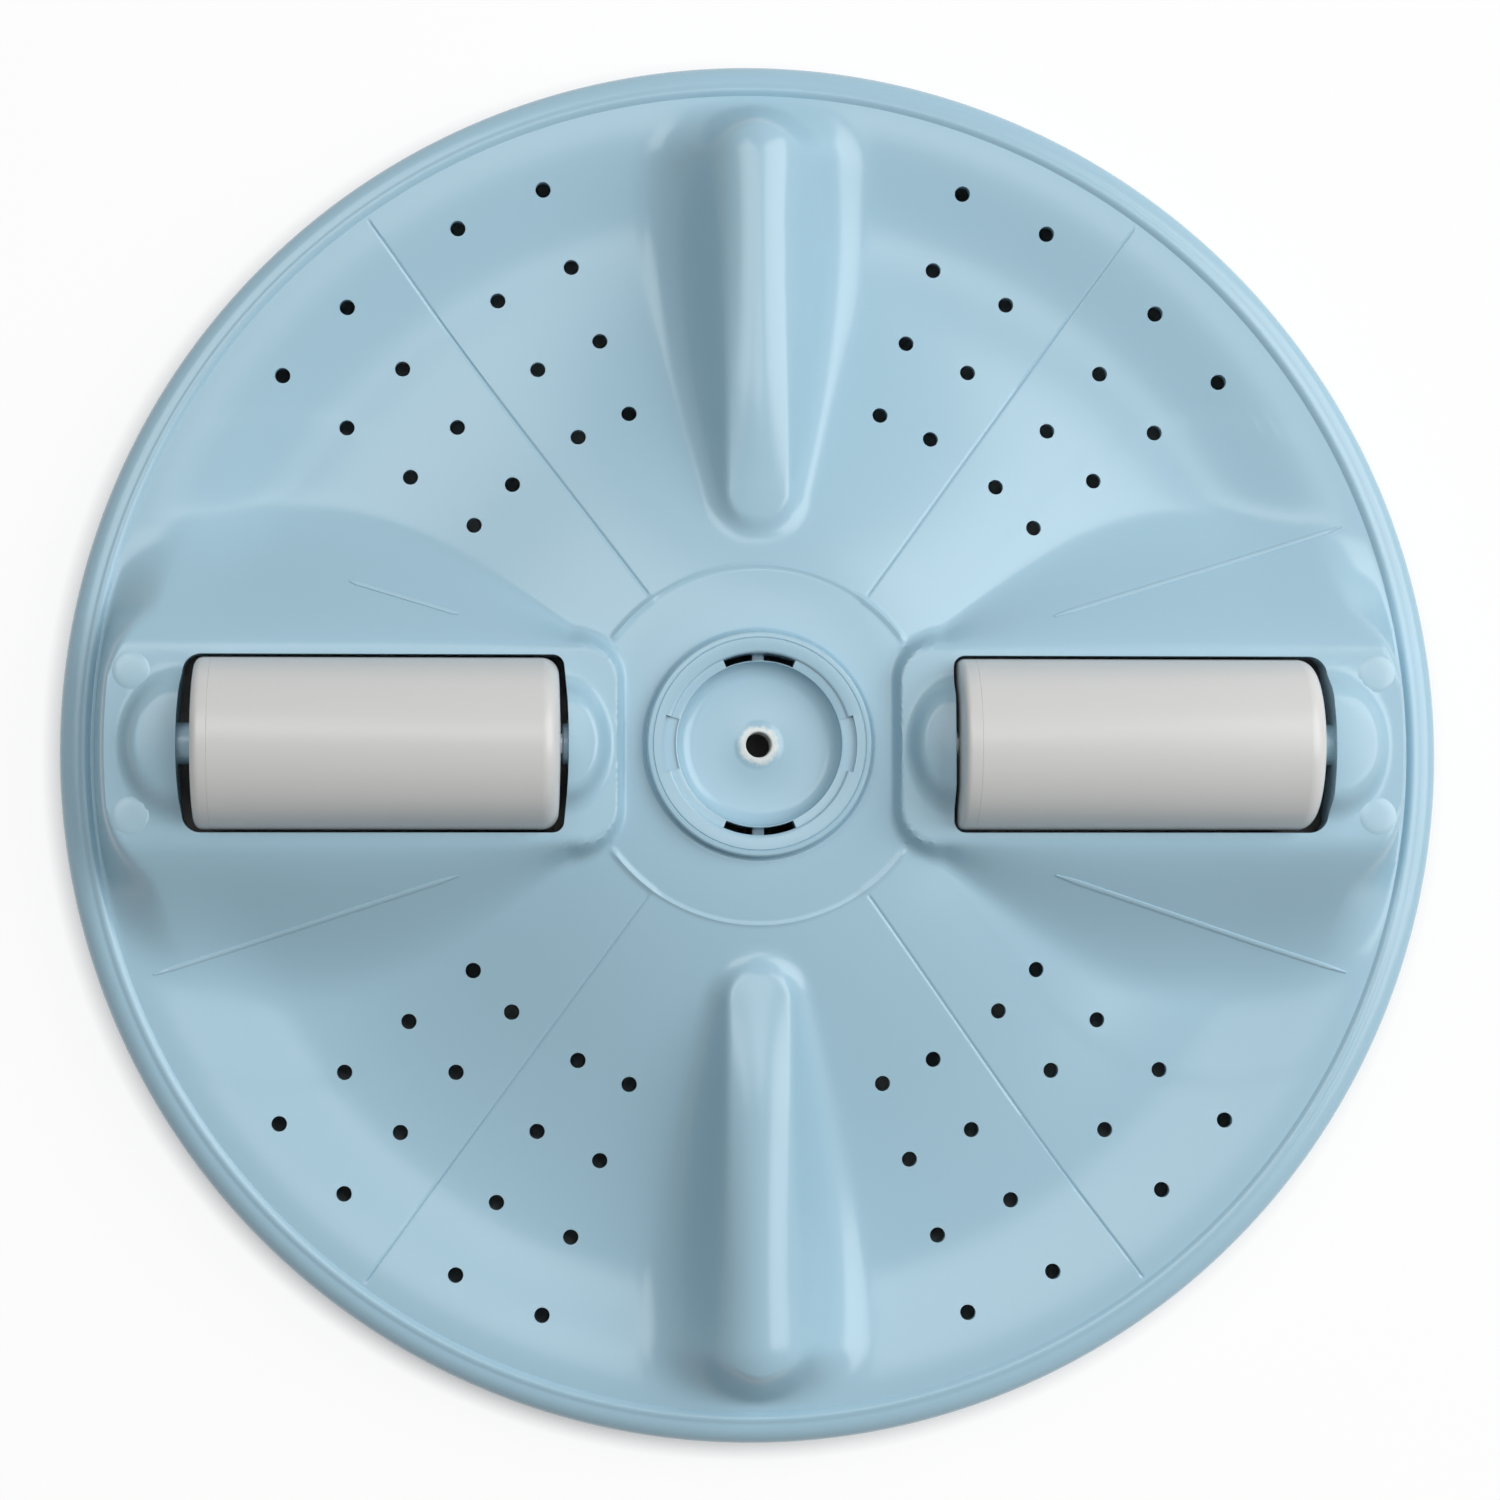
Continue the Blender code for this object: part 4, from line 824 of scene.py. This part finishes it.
for side in (1, -1):
    outline = [(-0.0014, side * 0.0190), (0.0014, side * 0.0190),
               (0.0014, side * 0.0225), (-0.0014, side * 0.0225)]
    hollow.append(standing("slot rib", outline, 0.0270, 0.0312))
ribs = gather("ribs_and_bearings", hollow)
ribs.data.shade_smooth()
ribs.data.set_sharp_from_angle(angle=math.radians(35))
ribs.data.materials.append(disc_plastic)
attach(ribs, "pulsator")


# The two rollers: hollow warm grey mouldings, each turning freely on its own steel pin. One end
# is domed and the other is closed by a pressed cap with a square edge. Both point the same way.
ROLLER_RADIUS = 0.02075
ROLLER_MIDDLE = 0.0919
ROLLER_LENGTH = 0.0876
ROLLER_BORE = 0.0033
HUB_TUBE = 0.0062
HUB_TUBE_DEPTH = 0.0140
BARREL_INSIDE = 0.0183
CAP_SPIGOT = 0.0180
CAP_SPIGOT_INSIDE = 0.0155
CAP_WIDTH = 0.0040

roller_plastic = moulded_plastic(
    "roller_plastic", (0.605, 0.605, 0.597), (0.575, 0.576, 0.566), 0.30, 3000.0, 0.00005)


def turned_along_x(name, middle, profile, columns):
    """Spin a closed (radius, along) profile round a roller's axis."""
    bm = bmesh.new()
    rows = []
    for radius, along in profile:
        turns = [2 * math.pi * column / columns for column in range(columns)]
        rows.append([bm.verts.new((middle + along, radius * math.cos(turn), AXIS_Z + radius * math.sin(turn)))
                     for turn in turns])
    for near, far in zip(rows, rows[1:] + rows[:1]):
        for column in range(columns):
            after = (column + 1) % columns
            bm.faces.new((near[column], near[after], far[after], far[column]))
    return mesh_piece(name, bm)


def rounded_end(radius, end, rounding, steps):
    """Quarter round at one end of a roller, from its rim to its face."""
    sign = 1 if end > 0 else -1
    points = []
    for step in range(steps + 1):
        turn = math.pi / 2 * step / steps
        points.append((radius - rounding * (1 - math.cos(turn)),
                       end - sign * rounding * (1 - math.sin(turn))))
    return points


for side, body in ((1, "right_roller"), (-1, "left_roller")):
    half = ROLLER_LENGTH / 2
    seam = -half + CAP_WIDTH
    barrel = [(ROLLER_BORE, half - 0.0002), (HUB_TUBE, half), (0.0150, half - 0.0003)]
    barrel += rounded_end(ROLLER_RADIUS, half - 0.0004, 0.0042, 10)[::-1]
    barrel += [(ROLLER_RADIUS, seam + 0.00004), (ROLLER_RADIUS - 0.00004, seam), (BARREL_INSIDE, seam)]
    barrel += [(BARREL_INSIDE, half - 0.0040), (HUB_TUBE, half - 0.0025)]
    barrel += [(HUB_TUBE, half - HUB_TUBE_DEPTH), (ROLLER_BORE, half - HUB_TUBE_DEPTH)]
    piece = turned_along_x(body + "_barrel", side * ROLLER_MIDDLE, barrel, 112)
    cap_edge = 0.0016 if side > 0 else 0.0020
    cap = [(ROLLER_BORE, -half), *rounded_end(ROLLER_RADIUS, -half, cap_edge, 5)[::-1]]
    cap += [(ROLLER_RADIUS, seam - 0.00006), (ROLLER_RADIUS - 0.00004, seam - 0.00002)]
    cap += [(CAP_SPIGOT, seam - 0.00002), (CAP_SPIGOT, seam + 0.0040), (CAP_SPIGOT_INSIDE, seam + 0.0040)]
    cap += [(CAP_SPIGOT_INSIDE, seam - 0.0010), (HUB_TUBE, seam - 0.0010)]
    cap += [(HUB_TUBE, -half + HUB_TUBE_DEPTH), (ROLLER_BORE, -half + HUB_TUBE_DEPTH)]
    closer = turned_along_x(body + "_closing_cap", side * ROLLER_MIDDLE, cap, 112)
    for made, node in ((piece, body), (closer, body + "_end_cap")):
        made.data.shade_smooth()
        made.data.set_sharp_from_angle(angle=math.radians(30))
        made.data.materials.append(roller_plastic)
        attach(made, body)
        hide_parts(node)


# Metal parts and retainers: each roller's pin is a ground stainless rod, pushed up into its seat
# from below and held by a moulded retainer. The drive shaft's splined socket is a sintered steel
# insert, moulded into the boss.
def bare_steel(name, colour, roughness, stretch, grain):
    """Bare steel: fine marks from grinding or turning, and a slight cloudiness."""
    material, shader, start = new_finish(name)
    place = start.node("ShaderNodeTexCoord", output=3)
    drawn = start.node("ShaderNodeVectorMath", {"operation": "MULTIPLY"}, {0: place, 1: stretch})
    marks = start.node("ShaderNodeTexNoise", None, {"Vector": drawn, "Scale": grain, "Detail": 4.0})
    cloud = start.node("ShaderNodeTexNoise", None, {"Vector": place, "Scale": 260.0, "Detail": 3.0})
    dull = tuple(0.78 * part for part in colour)
    plug_in(shader, "Base Color", start.mixed(0.6 * cloud + 0.3 * marks, (*dull, 1), (*colour, 1)))
    plug_in(shader, "Roughness", roughness - 0.06 + 0.16 * marks)
    bump = start.node("ShaderNodeBump", None, {
        "Strength": 0.15, "Distance": 0.00004, "Height": marks + 0.5 * cloud})
    plug_in(shader, "Normal", bump)
    shader.inputs["Metallic"].default_value = 1.0
    return material


retainer_plastic = moulded_plastic(
    "retainer_plastic", (0.300, 0.500, 0.610), (0.270, 0.465, 0.575), 0.30, 2600.0, 0.00006)
pin_steel = bare_steel("pin_steel", (0.62, 0.62, 0.63), 0.26, (60.0, 1.0, 1.0), 900.0)
insert_steel = bare_steel("insert_steel", (0.50, 0.49, 0.48), 0.42, (1.0, 1.0, 6.0), 1400.0)
dressed = {"shaft_insert": insert_steel}
for side in ("right", "left"):
    dressed[side + "_axle_pin"] = pin_steel
    dressed[side + "_axle_retainer"] = retainer_plastic
for node, finish in dressed.items():
    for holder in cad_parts[node].material_slots:
        holder.material = finish


# Retainer screws: four pan-head self-tapping screws in stainless steel, with a cross recess, driven
# up into the bosses beside the outer end of each pin.
SCREW_HEAD_RADIUS = 0.0035
SCREW_HEAD_HEIGHT = 0.0022
SCREW_SHANK_RADIUS = 0.00175
THREAD_ROOT = 0.00130
THREAD_PITCH = 0.0011


def pan_head_screw():
    """One screw, head down, its seat at the origin."""
    bm = bmesh.new()
    profile = [(0.0006, -SCREW_HEAD_HEIGHT)]
    for step in range(1, 6):
        turn = math.pi / 2 * step / 5
        profile.append((0.0014 + (SCREW_HEAD_RADIUS - 0.0014) * math.sin(turn),
                        -0.0007 - (SCREW_HEAD_HEIGHT - 0.0007) * math.cos(turn)))
    profile += [(SCREW_HEAD_RADIUS, -0.0002), (SCREW_HEAD_RADIUS - 0.0002, 0.0), (SCREW_SHANK_RADIUS, 0.0)]
    for thread in range(8):
        level = 0.0008 + THREAD_PITCH * thread
        profile += [(THREAD_ROOT, level), (SCREW_SHANK_RADIUS, level + 0.0004), (THREAD_ROOT, level + 0.0008)]
    profile += [(0.0010, 0.0102), (0.0002, 0.0119)]
    rows = [[bm.verts.new((x, y, level)) for x, y in arc(0, 0, radius, 0, 2 * math.pi, 24)[:-1]]
            for radius, level in profile]
    for near, far in zip(rows, rows[1:]):
        for column in range(24):
            after = (column + 1) % 24
            bm.faces.new((near[column], near[after], far[after], far[column]))
    bm.faces.new(rows[0])
    bm.faces.new(rows[-1])
    screw = mesh_piece("screw", bm)
    arms = []
    for long, short in ((0.0017, 0.0003), (0.0003, 0.0017)):
        outline = [(-long, -short), (long, -short), (long, short), (-long, short)]
        arms.append(standing(
            "recess arm", outline, -SCREW_HEAD_HEIGHT - 0.001, -SCREW_HEAD_HEIGHT + 0.0011))
    cut_away(screw, arms)
    return screw


screw_steel = bare_steel("screw_steel", (0.60, 0.60, 0.61), 0.30, (1.0, 1.0, 8.0), 1200.0)
screw = pan_head_screw()
places = []
replaced = []
for side in ("right", "left"):
    for number in ("1", "2"):
        node = side + "_retainer_screw_" + number
        low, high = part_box(node)
        places.append(((low[0] + high[0]) / 2, (low[1] + high[1]) / 2, low[2] + SCREW_HEAD_HEIGHT))
        replaced.append(node)
tree, add = new_tree("retainer_screws", (
    ("Places", "Geometry"), ("Screw", "Object"), ("Size", "Float"), ("Steel", "Material")))
shape = add("GeometryNodeObjectInfo", {}, {"Object": "Screw"})
copies = add("GeometryNodeInstanceOnPoints", {}, {
    "Points": "Places", "Instance": shape.outputs["Geometry"], "Scale": "Size"})
solid = add("GeometryNodeRealizeInstances", {}, {0: copies.outputs[0]})
painted = add("GeometryNodeSetMaterial", {}, {0: solid.outputs[0], "Material": "Steel"})
add("NodeGroupOutput", {}, {0: painted.outputs[0]})
screws = grown_by_nodes("retainer_screws", places, tree, {"Screw": screw, "Size": 1.0, "Steel": screw_steel})
bpy.data.objects.remove(screw, do_unlink=True)
screws.data.shade_smooth()
screws.data.set_sharp_from_angle(angle=math.radians(35))
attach(screws, "pulsator")
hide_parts(*replaced)


# Floor, lamps and camera: a white sweep under soft studio light that comes mostly from the right.
# The camera looks almost straight down, as the photograph does, with a long lens.
WORLD_LEVEL = 0.17
LENS = 97.66
CAMERA_TURN = (math.radians(-3.28), math.radians(3.55), math.radians(-0.09))
CAMERA_SHIFT = Vector((0.00130, 0.00054, -1.0))

bm = bmesh.new()
bmesh.ops.create_grid(bm, x_segments=8, y_segments=8, size=3.0, matrix=Matrix.Translation((0, 0, -0.0005)))
floor = mesh_piece("floor", bm)
material, shader, start = new_finish("floor_white")
shader.inputs["Base Color"].default_value = (0.88, 0.88, 0.88, 1)
shader.inputs["Roughness"].default_value = 0.9
shader.inputs["Specular IOR Level"].default_value = 0.1
place = start.node("ShaderNodeTexCoord", output=3)
flat = start.node("ShaderNodeVectorMath", {"operation": "MULTIPLY"}, {0: place, 1: (1.0, 1.0, 0.0)})
away = start.node("ShaderNodeVectorMath", {"operation": "LENGTH"}, {0: flat}, output=1)
outside = start.node("ShaderNodeClamp", None, {0: (away - 0.168) * 120.0})
path = material.node_tree.nodes.new("ShaderNodeLightPath")
seen = Finish(start.tree, path.outputs["Is Camera Ray"])
for kind in ("Is Glossy Ray", "Is Transmission Ray"):
    seen = seen + Finish(start.tree, path.outputs[kind])
glow = start.node("ShaderNodeEmission", None, {"Color": (1, 1, 1, 1), "Strength": 1.0})
surface = start.node("ShaderNodeMixShader", None, {
    0: 0.90 * outside * seen, 1: Finish(start.tree, shader.outputs[0]), 2: glow})
start.tree.links.new(surface.socket, start.tree.nodes["Material Output"].inputs["Surface"])
floor.data.materials.append(material)

world = bpy.data.worlds.new("studio")
bpy.context.scene.world = world
world.use_nodes = True
path = world.node_tree.nodes.new("ShaderNodeLightPath")
seen = Finish(world.node_tree, path.outputs["Is Camera Ray"])
for kind in ("Is Glossy Ray", "Is Transmission Ray"):
    seen = seen + Finish(world.node_tree, path.outputs[kind])
world.node_tree.nodes["Background"].inputs["Color"].default_value = (1, 1, 1, 1)
plug_in(world.node_tree.nodes["Background"], "Strength", WORLD_LEVEL + (1.0 - WORLD_LEVEL) * seen)

for place, aim, size, power in (
    ((1.17, 0.34, 1.18), (0, 0, 0), 1.5, 25.8),
    ((-0.66, 0.66, 1.77), (0, 0, 0), 1.0, 10.0),
    ((0.09, 0.27, 1.48), (0, 0, 0), 0.40, 1.5),
):
    lamp = bpy.data.lights.new("softbox", "AREA")
    lamp.shape = "SQUARE"
    lamp.size = size
    lamp.energy = power
    holder = bpy.data.objects.new("softbox", lamp)
    bpy.context.scene.collection.objects.link(holder)
    holder.location = place
    holder.rotation_euler = (Vector(aim) - Vector(place)).to_track_quat("-Z", "Y").to_euler()

turn_x, turn_y, turn_z = CAMERA_TURN
world_to_camera = Matrix.Rotation(turn_z, 3, "Z") @ Matrix.Rotation(turn_y, 3, "Y")
world_to_camera = world_to_camera @ Matrix.Rotation(turn_x, 3, "X")
facing = world_to_camera.transposed()
lens = bpy.data.cameras.new("camera")
lens.lens = LENS
lens.sensor_width = 36
camera = bpy.data.objects.new("camera", lens)
bpy.context.scene.collection.objects.link(camera)
camera.matrix_world = Matrix.Translation(Vector((0, 0, 0.0207)) - facing @ CAMERA_SHIFT) @ facing.to_4x4()
bpy.context.scene.camera = camera
bpy.context.scene.view_settings.view_transform = "Standard"
